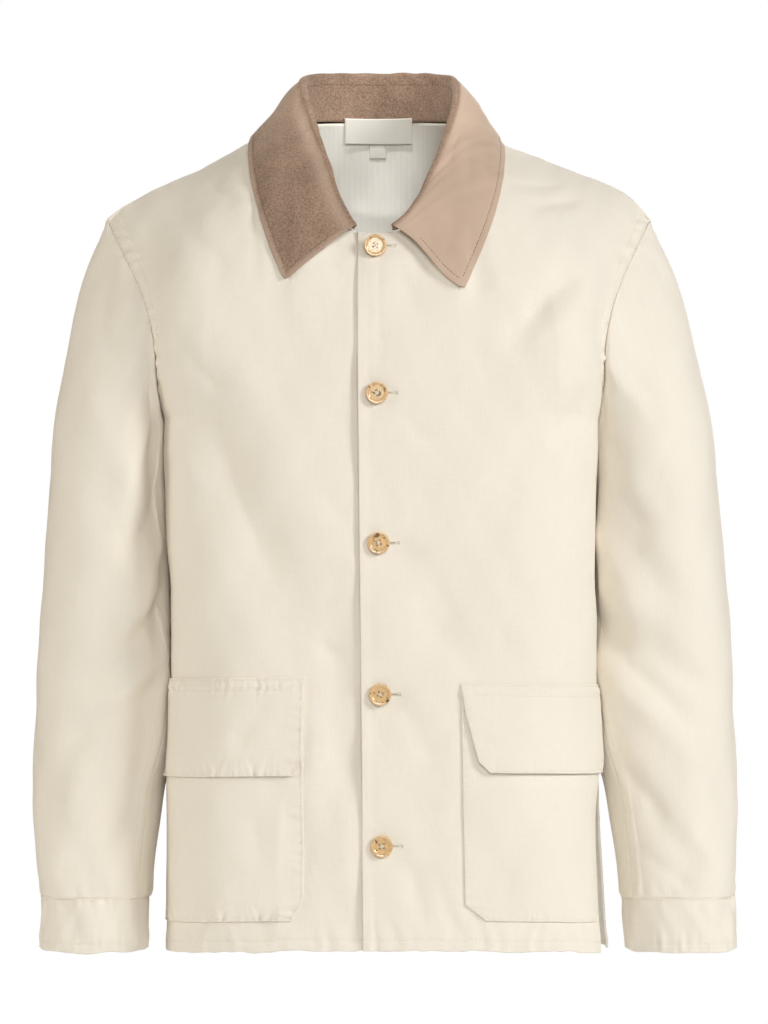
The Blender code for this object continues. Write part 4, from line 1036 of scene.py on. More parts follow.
@lru_cache(maxsize=None)
def back_cloth():
    """The back's outer face with its creases, rows from the hem up."""
    rise = panel_rows(COARSE["back"])
    share = 2.0 * divisions(2 * LAP_PATH, COARSE["back"])[None, :] - 1.0
    base = settled_panel(body_point(share, rise, 1.0, "back"), share, rise)
    cloth = cloth_of(base, body_outwards(base))
    x, z = base[..., 0], base[..., 2]
    edge = np.minimum(cloth.left, cloth.right)
    relief = crease_relief(BACK_CREASES, x, z) + 1.3 * unevenness(x, z)
    relief = relief * bpy.context.scene.jacket_cloth.creases
    relief = relief * (0.2 + 0.8 * ease(edge / CALM_SEAM))
    phases = (1.2, np.sign(x), 2.0, 4 * np.sign(x))
    seam = sewn_panel(relief, cloth, share, rise, edge, phases)
    outwards = cloth.normals
    cloth = raised(cloth, relief)
    reach, on, deep, deeper = BACK_TUCK
    near_tip = bell(edge[-1], reach)
    deep = deep * seam[-1] + deeper * near_tip
    cloth.grid = tucked(cloth.grid, outwards, [(0, -1, on * near_tip, deep)])
    cloth.grid[..., 2] += hem_waves(x, cloth.bottom, 0.4)
    return cloth


# ----------------------------------------------------------------------- the sleeves


def arm_sides(height, side):
    """Inner, outer, front and back side of an arm at a height."""
    columns = (1, 2 if side > 0 else 3, 4, 5)
    return (smooth(SLEEVE_RINGS, column, height) for column in columns)


def sleeve_ring(height, turn, side):
    """Point of a level ring round the arm; turn 0 faces the body, 90 the front."""
    inner, outer, front, back = arm_sides(height, side)
    angle = np.radians(turn)
    cosine, sine = np.cos(angle), np.sin(angle)
    power = SLEEVE_ROUNDNESS
    stretch = (np.abs(cosine) ** power + np.abs(sine) ** power) ** (-1 / power)
    x = (inner + outer) / 2 - (outer - inner) / 2 * cosine * stretch
    y = (front + back) / 2 - (back - front) / 2 * sine * stretch
    return point(side * x, y, height)


def beside_body(points, side):
    """Moves a sleeve's points outwards where they would reach into the body."""
    across = points[..., 0] * side
    height = np.minimum(points[..., 2], UNDERARM_HEIGHT)
    limit = body_half_width(points[..., 1], height) + SLEEVE_CLEARANCE
    below = ease((UNDERARM_HEIGHT - points[..., 2]) / SLEEVE_CLEAR_FADE)
    pushed = np.maximum(across, limit * below + across * (1 - below))
    points = points.copy()
    points[..., 0] = side * pushed
    return points


def sleeve_axis(height, side):
    inner, outer, front, back = arm_sides(height, side)
    return point(side * (inner + outer) / 2, (front + back) / 2, height)


def sleeve_point(turn, rise, side):
    """Point of a sleeve's outer face; rise 0 at the armhole, 1 at the top ring, 2 down."""
    turn, rise = np.broadcast_arrays(np.asarray(turn, float), np.asarray(rise, float))
    turn = turn % 360.0
    by_front = turn <= 180.0
    up = np.where(by_front, turn, 360.0 - turn) / 180.0
    seam = np.where(
        by_front[..., None],
        armhole_point(up, side, "front"),
        armhole_point(up, side, "back"),
    )
    seam = seam + np.array((side * SLEEVE_STITCH, 0.0, 0.0))
    height = SLEEVE_TOP_RING + (SLEEVE_END - SLEEVE_TOP_RING) * np.clip(rise - 1, 0, 1)
    twisted = turn - smooth(SLEEVE_TWIST, 1, height)
    level = sleeve_ring(np.full_like(turn, SLEEVE_TOP_RING), twisted, side)
    chord = np.linalg.norm(level - seam, axis=-1)[..., None]
    lift = (1 - np.cos(np.radians(turn))) / 2
    low, more, power = HEAD_LEAVE
    leave = unit(point(
        side * (low + more * lift**power),
        -HEAD_FORWARD * np.sin(np.radians(turn)),
        np.full_like(turn, -HEAD_DOWN),
    ))
    arrive = unit(point(side * HEAD_SPREAD * lift, 0.0 * lift, np.full_like(turn, -1.0)))
    leave = leave * chord * HEAD_FULLNESS
    head = run(seam, leave, level, arrive * chord, np.clip(rise, 0.0, 1.0))
    arm = sleeve_ring(height, twisted, side)
    points = np.where((rise > 1)[..., None], arm, head)
    round_arm = turn * (1.0 if side > 0 else RIGHT_FOLDS_TURN)
    relief = fold_relief(SLEEVE_FOLDS, points[..., 2], round_arm)
    fade = 1.0
    for none, full in (SLEEVE_FOLD_START, SLEEVE_FOLD_END):
        fade = fade * ease((rise - none) / (full - none))
    points = points + sleeve_outwards(points, side) * (relief * fade)[..., None]
    return beside_body(points, side)


def sleeve_outwards(points, side):
    """Direction in which a sleeve's wall is measured, from the middle of the arm."""
    across, depth, top = SLEEVE_HEAD_CORE
    axis = sleeve_axis(np.minimum(points[..., 2], SLEEVE_TOP_RING), side)
    head = np.array((side * across, depth, 0.0))
    rise = ease((points[..., 2] - SLEEVE_TOP_RING) / SLEEVE_HEAD_BLEND)[..., None]
    core = axis * (1 - rise) + head * rise
    core[..., 2] = np.minimum(points[..., 2], top)
    return unit(points - core)


@lru_cache(maxsize=None)
def sleeve_cloth(side, piece):
    """One piece of a sleeve with its creases, rows from the armhole down."""
    first, last = SLEEVE_FRONT_SEAM, SLEEVE_BACK_SEAM
    if piece == "under":
        first, last = SLEEVE_BACK_SEAM - 360.0, SLEEVE_FRONT_SEAM
    head = divisions(SLEEVE_HEAD_LENGTH, COARSE["sleeve"], (True, False))
    arm = divisions(SLEEVE_TOP_RING - SLEEVE_END, COARSE["sleeve"], (False, True))
    rise = np.concatenate((head, 1.0 + arm[1:]))[:, None]
    spread = divisions(last - first, COARSE["sleeve"])[None, :]
    turn = first + SLEEVE_SEAM_GAP + (last - first - 2 * SLEEVE_SEAM_GAP) * spread
    base = sleeve_point(turn, rise, side)
    if piece == "upper":
        width, passes = EVEN_HEAD
        base = relaxed(base, 1, bell(turn - 180.0, width) * ease(rise / 0.05), passes)
    width, passes = EVEN_TOP_RING
    base = relaxed(base, 0, bell(rise - 1.0, width) + 0.0 * turn, passes)
    outwards = sleeve_outwards(base, side)
    cloth = cloth_of(base, outwards)
    z = base[..., 2]
    seams = np.minimum(cloth.left, cloth.right)
    round_arm = np.broadcast_to(turn % 360.0, z.shape)
    inner = (round_arm + 180.0) % 360.0 - 180.0     # from the side that faces the body
    beside = ease(np.abs(inner) / 30.0 - 0.3)
    relief = crease_relief(SLEEVE_CREASES[WORD[side]], z, round_arm) + unevenness(turn, z)
    relief = relief * bpy.context.scene.jacket_cloth.creases
    relief = relief * (0.3 + 0.7 * ease(seams / 16.0)) * beside * ease(cloth.bottom / 20.0)
    relief += gathers("head", cloth.bottom, turn, side) * ease(cloth.bottom / 3.0)
    relief += gathers("sleeve_end", cloth.top, turn, 2 * side)
    relief += gathers("sleeve_seam", seams, z, 3 * side) * beside
    relief += SLEEVE_TOUCH * bell(inner, TOUCH_TURN) * ease(cloth.bottom / 8.0)
    round_tip, down = HEAD_LIFT_PLACE
    swell = HEAD_LIFT * bell(turn - 180.0, round_tip) * bell(cloth.bottom - down, down)
    relief += swell * ease(cloth.bottom / 6.0)
    if piece == "upper":
        relief += 0.8 * fell_band(seams) + 0.5 * groove(seams)
    cloth.uv = np.stack((np.broadcast_to(turn, z.shape), cloth.bottom), axis=-1)
    cloth = raised(cloth, relief)
    on, deep = TUCK
    lost, width = TUCK_AT_TIP
    off_tip = 1.0 - lost * bell(turn[0] - 180.0, width)
    edges = [(0, 0, on * off_tip, deep), (0, -1, on, deep)]
    if piece == "under":
        edges += [(1, 0, on, deep), (1, -1, on, deep)]
    cloth.grid = tucked(cloth.grid, outwards, edges)
    return cloth


@lru_cache(maxsize=None)
def cuff_cloth(side):
    """The turned-up band at the end of a sleeve: closed rings from the top down."""
    turn = np.linspace(0.0, 360.0, CUFF_COLUMNS + 1)[None, :-1]
    spread = divisions(SLEEVE_END - CUFF_END, 2.6)[:, None]
    heights = SLEEVE_END - SEAM_GAP + (CUFF_END - SLEEVE_END + SEAM_GAP) * spread
    heights, turn = np.broadcast_arrays(heights, turn)
    base = sleeve_ring(heights, turn, side)
    out = sleeve_outwards(base, side)
    down, up = SLEEVE_END - heights, heights - CUFF_END
    base = base + out * (CUFF_PROUD * (0.1 + 0.9 * ease(down / 20.0)))[..., None]
    relief = CUFF_WRINKLE * whole_ripple(turn + 0.35 * down, 9, side) * ease(up / 20.0)
    relief += CUFF_PUCKER * whole_ripple(turn - 0.6 * down, 16, 2 * side) * ease(down / 8.0)
    relief += CUFF_PUCKER * whole_ripple(turn, 36, 3 * side) * bell(down - CUFF_STITCH, 9.0)
    relief += CUFF_PUCKER * whole_ripple(turn, 32, side) * bell(down, 7.0)
    relief += stitch_dip(down, CUFF_STITCH)
    grid = base + out * relief[..., None]
    grid[..., 2] += CUFF_EDGE_WAVE * whole_ripple(turn, 7, side) * bell(up, 16.0)
    uv = np.stack((turn, down), axis=-1)
    return SimpleNamespace(grid=grid, normals=out, bottom=down, top=up, uv=uv)


def whole_ripple(turn, waves, phase):
    """Uneven waves that close on themselves round an arm, from -1 to 1."""
    angle = np.radians(turn)
    first = np.sin(waves * angle + phase)
    second = np.sin(round(waves * 0.62) * angle + 2.3 * phase)
    third = np.sin(round(waves * 1.41) * angle + 3.9 * phase)
    swell = 0.65 + 0.35 * np.sin(2 * angle + 1.7 * phase)
    return (first + 0.7 * second + 0.5 * third) * swell


# ------------------------------------------------------------------------ the collar


def collar_start(side):
    return COLLAR_START_LEFT if side > 0 else COLLAR_START_RIGHT


def set_on_cloth(points, cloth, rests, at_least):
    """Moves points to rest on the cloth below, or only off it where they reach in."""
    placed = points.copy()
    for index, (place, way) in enumerate(zip(points, body_outwards(points))):
        direction = Vector(way)
        hit = cloth.ray_cast(Vector(place) + direction * SEARCH, -direction)[0]
        if hit is None:
            continue
        stand_off = (Vector(place) - hit).dot(direction)
        if stand_off < rests[index] or not at_least:
            placed[index] = np.array(hit + direction * rests[index])
    return placed


def neck_stitches(angle, side):
    """Points of the neck seam on the panels, where the collar is sewn on."""
    share = NECK_SHARE * (angle / NECK_SIDE_ANGLE) ** (1 / NECK_SPREAD["front"])
    front = front_point(share, np.full_like(share, 2.0), side)
    behind = NECK_SHARE * (180.0 - angle) / (180.0 - NECK_SIDE_ANGLE)
    back = body_point(behind, np.full_like(behind, 2.0), side, "back")
    return np.where((angle < NECK_SIDE_ANGLE)[:, None], front, back)


def collar_lines(angle, side):
    """Neck seam, fold and outer edge of one half of the collar."""
    left = side > 0
    reach = (180.0 - angle) / (180.0 - collar_start(side))
    at_back, at_front = COLLAR_SEAM_RISE
    low, high = COLLAR_SEAM_TURN
    rise = at_back + (at_front - at_back) * ease((reach - low) / (high - low))
    seam = neck_stitches(angle, side) + point(0.0 * rise, 0.0 * rise, rise)
    fold = point(
        side * smooth(COLLAR_FOLD, 1 if left else 2, reach),
        smooth(COLLAR_FOLD, 3, reach),
        smooth(COLLAR_FOLD, 4, reach),
    )
    edge = point(
        side * smooth(COLLAR_EDGE, 1 if left else 3, reach),
        smooth(COLLAR_EDGE, 5, reach),
        smooth(COLLAR_EDGE, 2 if left else 4, reach),
    )
    return reach, seam, fold, edge


def collar_rows(reach, seam, fold, edge, cloth):
    """The collar's rows of points: up the stand, over the fold and down the fall."""
    rest = smooth(COLLAR_REST, 1, reach)
    edge = settled(set_on_cloth(edge, cloth, rest, at_least=False))
    along = unit(np.gradient(fold, axis=0))
    outwards = unit((fold - NECK_AXIS) * np.array((1.0, 1.0, 0.0)))
    slip = np.sum(outwards * along, axis=-1, keepdims=True)
    outwards = unit(outwards - along * slip)
    rising = unit(np.cross(along, outwards))
    at_back, at_front = COLLAR_FOLD_RADIUS
    radius = (at_back + (at_front - at_back) * ease(reach))[:, None]
    seam = seam - outwards * WALL / 2
    inner = fold - outwards * radius
    rows = [seam + (inner - seam) * step for step in np.linspace(0.0, 1.0, STAND_ROWS)]
    for turn in np.radians(np.linspace(165.0, 0.0, FOLD_ROWS)):
        rows.append(fold + (outwards * math.cos(turn) + rising * math.sin(turn)) * radius)
    start = rows[-1]
    chord = np.linalg.norm(edge - start, axis=-1)[:, None]
    bulge = smooth(COLLAR_BULGE, 1, reach)[:, None]
    out, up = COLLAR_LEAVE
    leave = unit(outwards * out + rising * up) * chord * bulge
    at_end = ease((reach - COLLAR_TAUT) / (1.0 - COLLAR_TAUT))[:, None]
    taut = COLLAR_TAUTNESS * at_end
    leave = leave * (1.0 - taut) + (edge - start) * taut
    sag = np.array((0.0, 0.0, -COLLAR_SAG)) * (1.0 - at_end)
    arrive = unit(unit(edge - start) + sag) * chord
    for step in divisions(COLLAR_FALL, 2.8)[1:-1]:
        fall = between(start, leave, edge, arrive, step)
        rows.append(set_on_cloth(fall, cloth, rest + COLLAR_LIFT * (1 - step), True))
    return np.array(rows + [edge])


@lru_cache(maxsize=None)
def collar_cloth():
    """Middle surface of the folded collar: rows from the neck seam over to the edge."""
    halves = []
    for side in (-1.0, 1.0):
        spread = divisions(COLLAR_HALF_LENGTH, 3.0)
        angle = 180.0 - (180.0 - collar_start(side)) * spread
        halves.append(collar_lines(angle, side))
    reach, seam, fold, edge = (
        np.concatenate((right[::-1], left[1:])) for right, left in zip(*halves)
    )
    side = np.sign(edge[:, 0])
    cloth = tree_of([front_cloth(1.0).grid, front_cloth(-1.0).grid, back_cloth().grid])
    grid = collar_rows(reach, seam, fold, edge, cloth)
    row = np.arange(len(grid))[:, None]
    past = ease((row - STAND_ROWS - FOLD_ROWS / 2) / 8.0)       # 0 before the fold, then 1
    for axis in (1, 0):
        grid = relaxed(grid, axis, past * np.ones(len(reach)), 30)
    reach = np.broadcast_to(reach, grid.shape[:2])
    facing = unit((grid - NECK_AXIS) * np.array((1.0, 1.0, 0.3)))
    shell = cloth_of(grid, facing * np.sign(row - STAND_ROWS - 2)[..., None])
    slow, fine = SUEDE_PITCH
    relief = SUEDE_WAVE * ripple(shell.left, slow, 1.0) * ease(shell.top / 25.0)
    finer = ripple(shell.left + 0.5 * shell.bottom, fine, 2.0)
    relief += SUEDE_WAVE * finer * ease(shell.bottom / 30)
    ends = np.minimum(np.minimum(shell.left, shell.right), shell.top)
    relief += stitch_dip(ends, COLLAR_STITCH) * 0.8
    relief = relief * ease(shell.bottom / 24.0)
    relief += COLLAR_CURL * bell(shell.right, 5.0) * past
    share = np.clip(1.0 - shell.top / shell.top[STAND_ROWS + FOLD_ROWS], 0.0, 1.0)
    sway = -COLLAR_SWAY * np.sin(2 * math.pi * share) * bell(shell.right, 14.0)
    grid += unit(grid[:, -1:] - grid[:, -9:-8]) * sway[..., None]
    for end, inner, beside in ((0, 8, shell.left), (-1, -9, shell.right)):
        pull = COLLAR_CORNER / 2 * bell(np.hypot(beside, shell.top), COLLAR_CORNER)
        grid += unit(grid[-9, inner] - grid[-1, end]) * pull[..., None]
    shell.ends, shell.reach, shell.side, shell.fallen = ends, reach, side, past
    shell.uv = np.stack((shell.left, shell.bottom), axis=-1)
    return raised(shell, relief)


def settled(line):
    """Evens a line of points along the collar, its two ends kept."""
    for _ in range(EVEN_PASSES):
        line = line.copy()
        line[1:-1] = (line[:-2] + 2 * line[1:-1] + line[2:]) / 4
    return line


# ------------------------------------------------------------- pockets, flaps, labels


def rise_of(height, across):
    """Panel rise at a height on a front, where it is this far from the middle."""
    share = across / LAP_PATH
    hem = HEM_FRONT + (HEM_SIDE - HEM_FRONT) * share**2
    return (height - hem) / (UNDERARM_HEIGHT - hem)


def tree_of(grids):
    """Search tree over some grids of points."""
    vertices, faces = [], []
    for grid in grids:
        base = len(vertices)
        vertices.extend(Vector(place) for place in grid.reshape(-1, 3))
        faces.extend((grid_quads(*grid.shape[:2]) + base).tolist())
    return BVHTree.FromPolygons(vertices, faces)


def laid_on(base, out, tree):
    """How far the cloth below stands off each point, evened as a stiff patch evens it."""
    height = np.zeros(base.shape[:2])
    for index in np.ndindex(height.shape):
        place, way = Vector(base[index]), Vector(out[index])
        hit = tree.ray_cast(place + way * SEARCH, -way)[0]
        height[index] = (hit - place).dot(way)
    even = height
    for _ in range(EVEN_PASSES):
        wide = np.pad(even, 1, mode="edge")
        even = (wide[:-2, 1:-1] + wide[2:, 1:-1] + wide[1:-1, :-2] + wide[1:-1, 2:]) / 4
        even = np.maximum(even, height)
    return even


def patch_cloth(side, inner, rises, lift, below):
    """Outer face of a patch that lies on the cloth below, before its own relief."""
    reach = front_reach(rises[:, None], side)
    first = (inner / LAP_PATH)[:, None]
    last = POCKET_OUTER_SHARE - (1.0 - reach)
    spread = divisions(PATCH_WIDTH, 1.35)[None, :]
    share = first + (last - first) * spread
    rise = np.broadcast_to(rises[:, None], share.shape)
    base = front_point(share, rise, side)
    out = body_outwards(base)
    off = laid_on(base, out, tree_of(below)) + PATCH_GAP + PATCH_WALL
    off = off + lift[:, None] * (1.0 - FLAP_LIFT_LOSS * spread)
    cloth = cloth_of(base + out * off[..., None], out)
    cloth.uv = np.stack((share * LAP_PATH, cloth.bottom), axis=-1)
    return cloth


def patch_relief(cloth, side, kind, relief):
    """A patch with its edges puckered and sewn, its creases and its turned-up lip."""
    name = WORD[side]
    x, z = cloth.grid[..., 0], cloth.grid[..., 2]
    soft = POCKET_SOFT[name]
    relief = relief + soft * gathers(f"{kind}_end", cloth.bottom, x, 2 * side)
    relief += soft * gathers(f"{kind}_side", cloth.left, z, 3 * side)
    for gap in (cloth.bottom, cloth.left):
        relief += stitch_dip(gap, POCKET_STITCH)
    strength = bpy.context.scene.jacket_cloth.creases
    relief += crease_relief(POCKET_CREASES[name], x, z) * strength
    off, width = POCKET_LIP_PLACE
    relief += POCKET_LIP[name] * bell(cloth.left - off, width)
    return raised(cloth, relief)


@lru_cache(maxsize=None)
def pocket_cloth(side):
    """A patch pocket with a cut-off lower corner."""
    name = WORD[side]
    edge = POCKET_INNER[name]
    across, up = POCKET_CHAMFER[name]
    steps = divisions(POCKET_TOP[name] - POCKET_BOTTOM, 2.2)
    height = POCKET_BOTTOM + (POCKET_TOP[name] - POCKET_BOTTOM) * steps
    heights = (POCKET_BOTTOM, POCKET_BOTTOM + up, POCKET_TOP[name])
    inner = np.interp(height, heights, (edge + across, edge, edge))
    rises = rise_of(height, edge)
    cloth = patch_cloth(side, inner, rises, 0.0 * rises, [front_cloth(side).grid])
    z = cloth.grid[..., 2]
    full = [
        np.sin(math.pi * np.clip(gap / reach, 0, 1))
        for gap, reach in zip((cloth.left, cloth.bottom), POCKET_FULL_TO)
    ]
    cloth = patch_relief(cloth, side, "pocket", POCKET_FULLNESS * full[0] * full[1])
    if side > 0:
        cloth.grid[..., 0] -= vent_pull(z, cloth.right + 2.0)
    return cloth


@lru_cache(maxsize=None)
def flap_cloth(side):
    """A pocket flap, whose free edge stands off a little."""
    name = WORD[side]
    edge = POCKET_INNER[name] - FLAP_OVERLAP
    steps = divisions(FLAP_TOP[name] - FLAP_BOTTOM[name], 2.0)
    height = FLAP_BOTTOM[name] + (FLAP_TOP[name] - FLAP_BOTTOM[name]) * steps
    down = 1.0 - steps
    inner = edge + np.interp(down, *np.array(FLAP_INNER[name]).T)
    lift = FLAP_LIFT[name] * down**FLAP_CURL
    below = [front_cloth(side).grid, pocket_cloth(side).grid]
    cloth = patch_cloth(side, inner, rise_of(height, edge), lift, below)
    top_row = np.abs(cloth.top - 7.0)
    relief = POCKET_SOFT[name] * gathers("flap_top", top_row, cloth.grid[..., 0], side)
    relief += stitch_dip(cloth.top, FLAP_TOP_STITCH) + stitch_dip(cloth.top, EDGE_STITCH)
    return patch_relief(cloth, side, "flap", relief)


def tag_cloth(box, tree, gap):
    """Outer and inner faces of a woven tag that lies inside the back of the neck."""
    left, right, bottom, top = box
    x = np.linspace(left, right, round((right - left) / 1.5))[None, :]
    z = np.linspace(bottom, top, round((top - bottom) / 1.2))[:, None]
    x, z = np.broadcast_arrays(x, z)
    limit = np.zeros(x.shape)
    for index in np.ndindex(x.shape):
        start = Vector((x[index], 0.0, z[index]))
        limit[index] = tree.ray_cast(start, Vector((0.0, 1.0, 0.0)))[0].y - gap
    down = np.linspace(1.0, 0.0, len(z))[:, None]
    depth = limit[:1] * down + limit[-1:] * (1 - down)
    depth = depth - np.maximum(depth - limit, 0.0).max()
    sag = TAG_PUFF * np.sin(math.pi * (x - left) / (right - left)) * np.sin(math.pi * down)
    grid = point(x, depth - LABEL_WALL - sag, z)
    cloth = cloth_of(grid, np.broadcast_to((0.0, -1.0, 0.0), grid.shape))
    cloth.uv = np.stack((x, z), axis=-1)
    return cloth


# -------------------------------------------------------------------------- meshes


def grid_quads(rows, columns, closed=False):
    """Corners of the quads over a grid of points."""
    row = np.arange(rows - 1)[:, None] * columns
    column = np.arange(columns if closed else columns - 1)[None, :]
    following = (column + 1) % columns
    above = row + columns
    corners = (row + column, row + following, above + following, above + column)
    return np.stack([corner.ravel() for corner in corners], axis=-1)


def edge_loop(rows, columns):
    """Points round the edge of a grid, in order."""
    top = (rows - 1) * columns
    return np.concatenate((
        np.arange(columns - 1),
        np.arange(rows - 1) * columns + columns - 1,
        top + np.arange(columns - 1, 0, -1),
        np.arange(rows - 1, 0, -1) * columns,
    ))


def drawn_in(grid, free, closed):
    """The grid with its edges drawn in over the cloth, the free ones further."""
    drawn = grid.copy()
    sides = [("bottom", (0,), (1,)), ("top", (-1,), (-2,))]
    if not closed:
        whole = slice(None)
        sides += [("left", (whole, 0), (whole, 1)), ("right", (whole, -1), (whole, -2))]
    for name, edge, inside in sides:
        drawn[edge] += unit(grid[inside] - grid[edge]) * EDGE_ROUND[name in free]
    return drawn


def add_object(name, vertices, faces, materials):
    """Adds one piece, leaned as the garment leans, in metres, on the root body."""
    placed = np.array(vertices, dtype=float)
    placed[:, 0] -= LEAN * placed[:, 2]
    mesh = bpy.data.meshes.new(name)
    mesh.from_pydata((placed * MM).tolist(), [], faces.tolist())
    for material in materials:
        mesh.materials.append(material)
    mesh.shade_smooth()
    piece = bpy.data.objects.new(name, mesh)
    bpy.context.collection.objects.link(piece)
    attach(piece, BODY)
    return piece


def facing_out(vertices, faces):
    """The faces, all turned over if the closed shape they make is inside out."""
    a, b, c, d = (vertices[faces[:, corner]] for corner in range(4))
    volume = np.sum(np.cross(a, b) * c) + np.sum(np.cross(a, c) * d)
    return faces if volume > 0 else faces[:, ::-1]


def add_shell(name, cloth, inner, materials, free=EDGES, closed=False, marks=None):
    """A cloth piece with a wall; its free edges are rounded, marks are attributes."""
    rows, columns = cloth.grid.shape[:2]
    count = rows * columns
    outer = drawn_in(cloth.grid, free, closed).reshape(-1, 3)
    under = drawn_in(inner, free, closed).reshape(-1, 3)
    halfway = ((cloth.grid + inner) / 2).reshape(-1, 3)
    front = grid_quads(rows, columns, closed)
    faces = [front, front[:, ::-1] + count]
    if closed:
        loops = [np.arange(columns), (rows - 1) * columns + np.arange(columns)[::-1]]
    else:
        loops = [edge_loop(rows, columns)]
    middle = []
    for loop in loops:
        base = 2 * count + sum(len(ring) for ring in middle)
        ring = base + np.arange(len(loop))
        middle.append(halfway[loop])
        after, ring_after = np.roll(loop, -1), np.roll(ring, -1)
        faces.append(np.stack((after, loop, ring, ring_after), axis=-1))
        faces.append(np.stack((ring_after, ring, loop + count, after + count), axis=-1))
    vertices = np.concatenate((outer, under, *middle))
    rim = sum(len(part) for part in faces[2:])
    faces = facing_out(vertices, np.concatenate(faces))
    piece = add_object(name, vertices, faces, materials)
    mesh = piece.data
    inside = np.zeros(len(faces), dtype=np.int32)
    inside[len(front):2 * len(front)] = len(materials) - 1
    mesh.polygons.foreach_set("material_index", inside)
    flat = cloth.uv.reshape(-1, 2)
    at_edge = np.concatenate([flat[loop] for loop in loops])
    uv = np.concatenate((flat, flat, at_edge)) * MM
    corners = uv[faces.ravel()].reshape(-1, 4, 2)
    if closed:
        turn = corners[..., 0].max(axis=1, keepdims=True) - corners[..., 0]
        corners[..., 0] += np.where(turn > 0.18, 0.36, 0.0)
    mesh.uv_layers.new(name="cloth").data.foreach_set("uv", corners.ravel())
    for mark, values in (marks or {}).items():
        flat = np.broadcast_to(values, cloth.grid.shape[:2]).ravel()
        whole = np.concatenate((flat, flat, *(flat[loop] for loop in loops)))
        mesh.attributes.new(mark, "FLOAT", "POINT").data.foreach_set("value", whole)
    return piece


# -------------------------------------------------------------------------- sewing


def line_at(cloth, edge, distance, clear=()):
    """Points and normals at a distance from an edge, kept clear of other edges."""
    fields = [cloth.grid, cloth.normals]
    fields += [getattr(cloth, other)[..., None] for other, _ in clear]
    gap = getattr(cloth, edge)
    table = np.concatenate(fields, axis=-1)
    if edge in ("bottom", "top"):
        gap, table = gap.T, table.swapaxes(0, 1)
    rows = []
    for gaps, row in zip(gap, table):
        if gaps[0] > gaps[-1]:
            gaps, row = gaps[::-1], row[::-1]
        rows.append([np.interp(distance, gaps, part) for part in row.T])
    rows = np.array(rows)
    kept = np.ones(len(rows), dtype=bool)
    for index, (_, least) in enumerate(clear):
        kept &= rows[:, 6 + index] >= least
    return rows[kept, :3], rows[kept, 3:6]


def along_line(points, normals, at):
    """Places and normals at distances along a line of points."""
    steps = np.linalg.norm(np.diff(points, axis=0), axis=-1)
    way = np.concatenate(([0.0], np.cumsum(steps)))
    where = [np.interp(at, way, points[:, axis]) for axis in range(3)]
    facing = [np.interp(at, way, normals[:, axis]) for axis in range(3)]
    return np.stack(where, axis=-1), unit(np.stack(facing, axis=-1))


def stitches_along(points, normals, length, pitch):
    """Start, end and normal of each stitch in a row."""
    total = np.linalg.norm(np.diff(points, axis=0), axis=-1).sum()
    starts = np.arange(pitch, total - pitch, pitch)
    starts = starts + 0.12 * pitch * np.sin(starts * 1.7)
    first, _ = along_line(points, normals, starts)
    last, _ = along_line(points, normals, starts + length)
    _, facing = along_line(points, normals, starts + length / 2)
    return first, last, facing


def add_threads(name, rows, thickness, material):
    """One mesh of short stitches that bed into the cloth at both ends."""
    first, last, facing = (np.concatenate(part) for part in zip(*rows))
    along = last - first
    across = unit(np.cross(along, facing)) * thickness / 2
    up = facing * thickness / 2
    stations = []
    for share, width, rise in THREAD_STATIONS:
        middle = first + along * share + up * rise
        stations += [middle + across * width, middle + up * width,
                     middle - across * width, middle - up * width]
    corners = len(stations)
    vertices = np.stack(stations, axis=1).reshape(-1, 3)
    one = []
    for station in range(len(THREAD_STATIONS) - 1):
        for side in range(4):
            a, b = 4 * station + side, 4 * station + (side + 1) % 4
            one.append((a, b, b + 4, a + 4))
    one += [(3, 2, 1, 0), tuple(range(corners - 4, corners))]
    one = np.array(one)
    one = facing_out(vertices[:corners], one)
    faces = (one[None] + corners * np.arange(len(first))[:, None, None]).reshape(-1, 4)
    piece = add_object(name, vertices, faces, [material])
    return piece


# ------------------------------------------------------------------------- materials


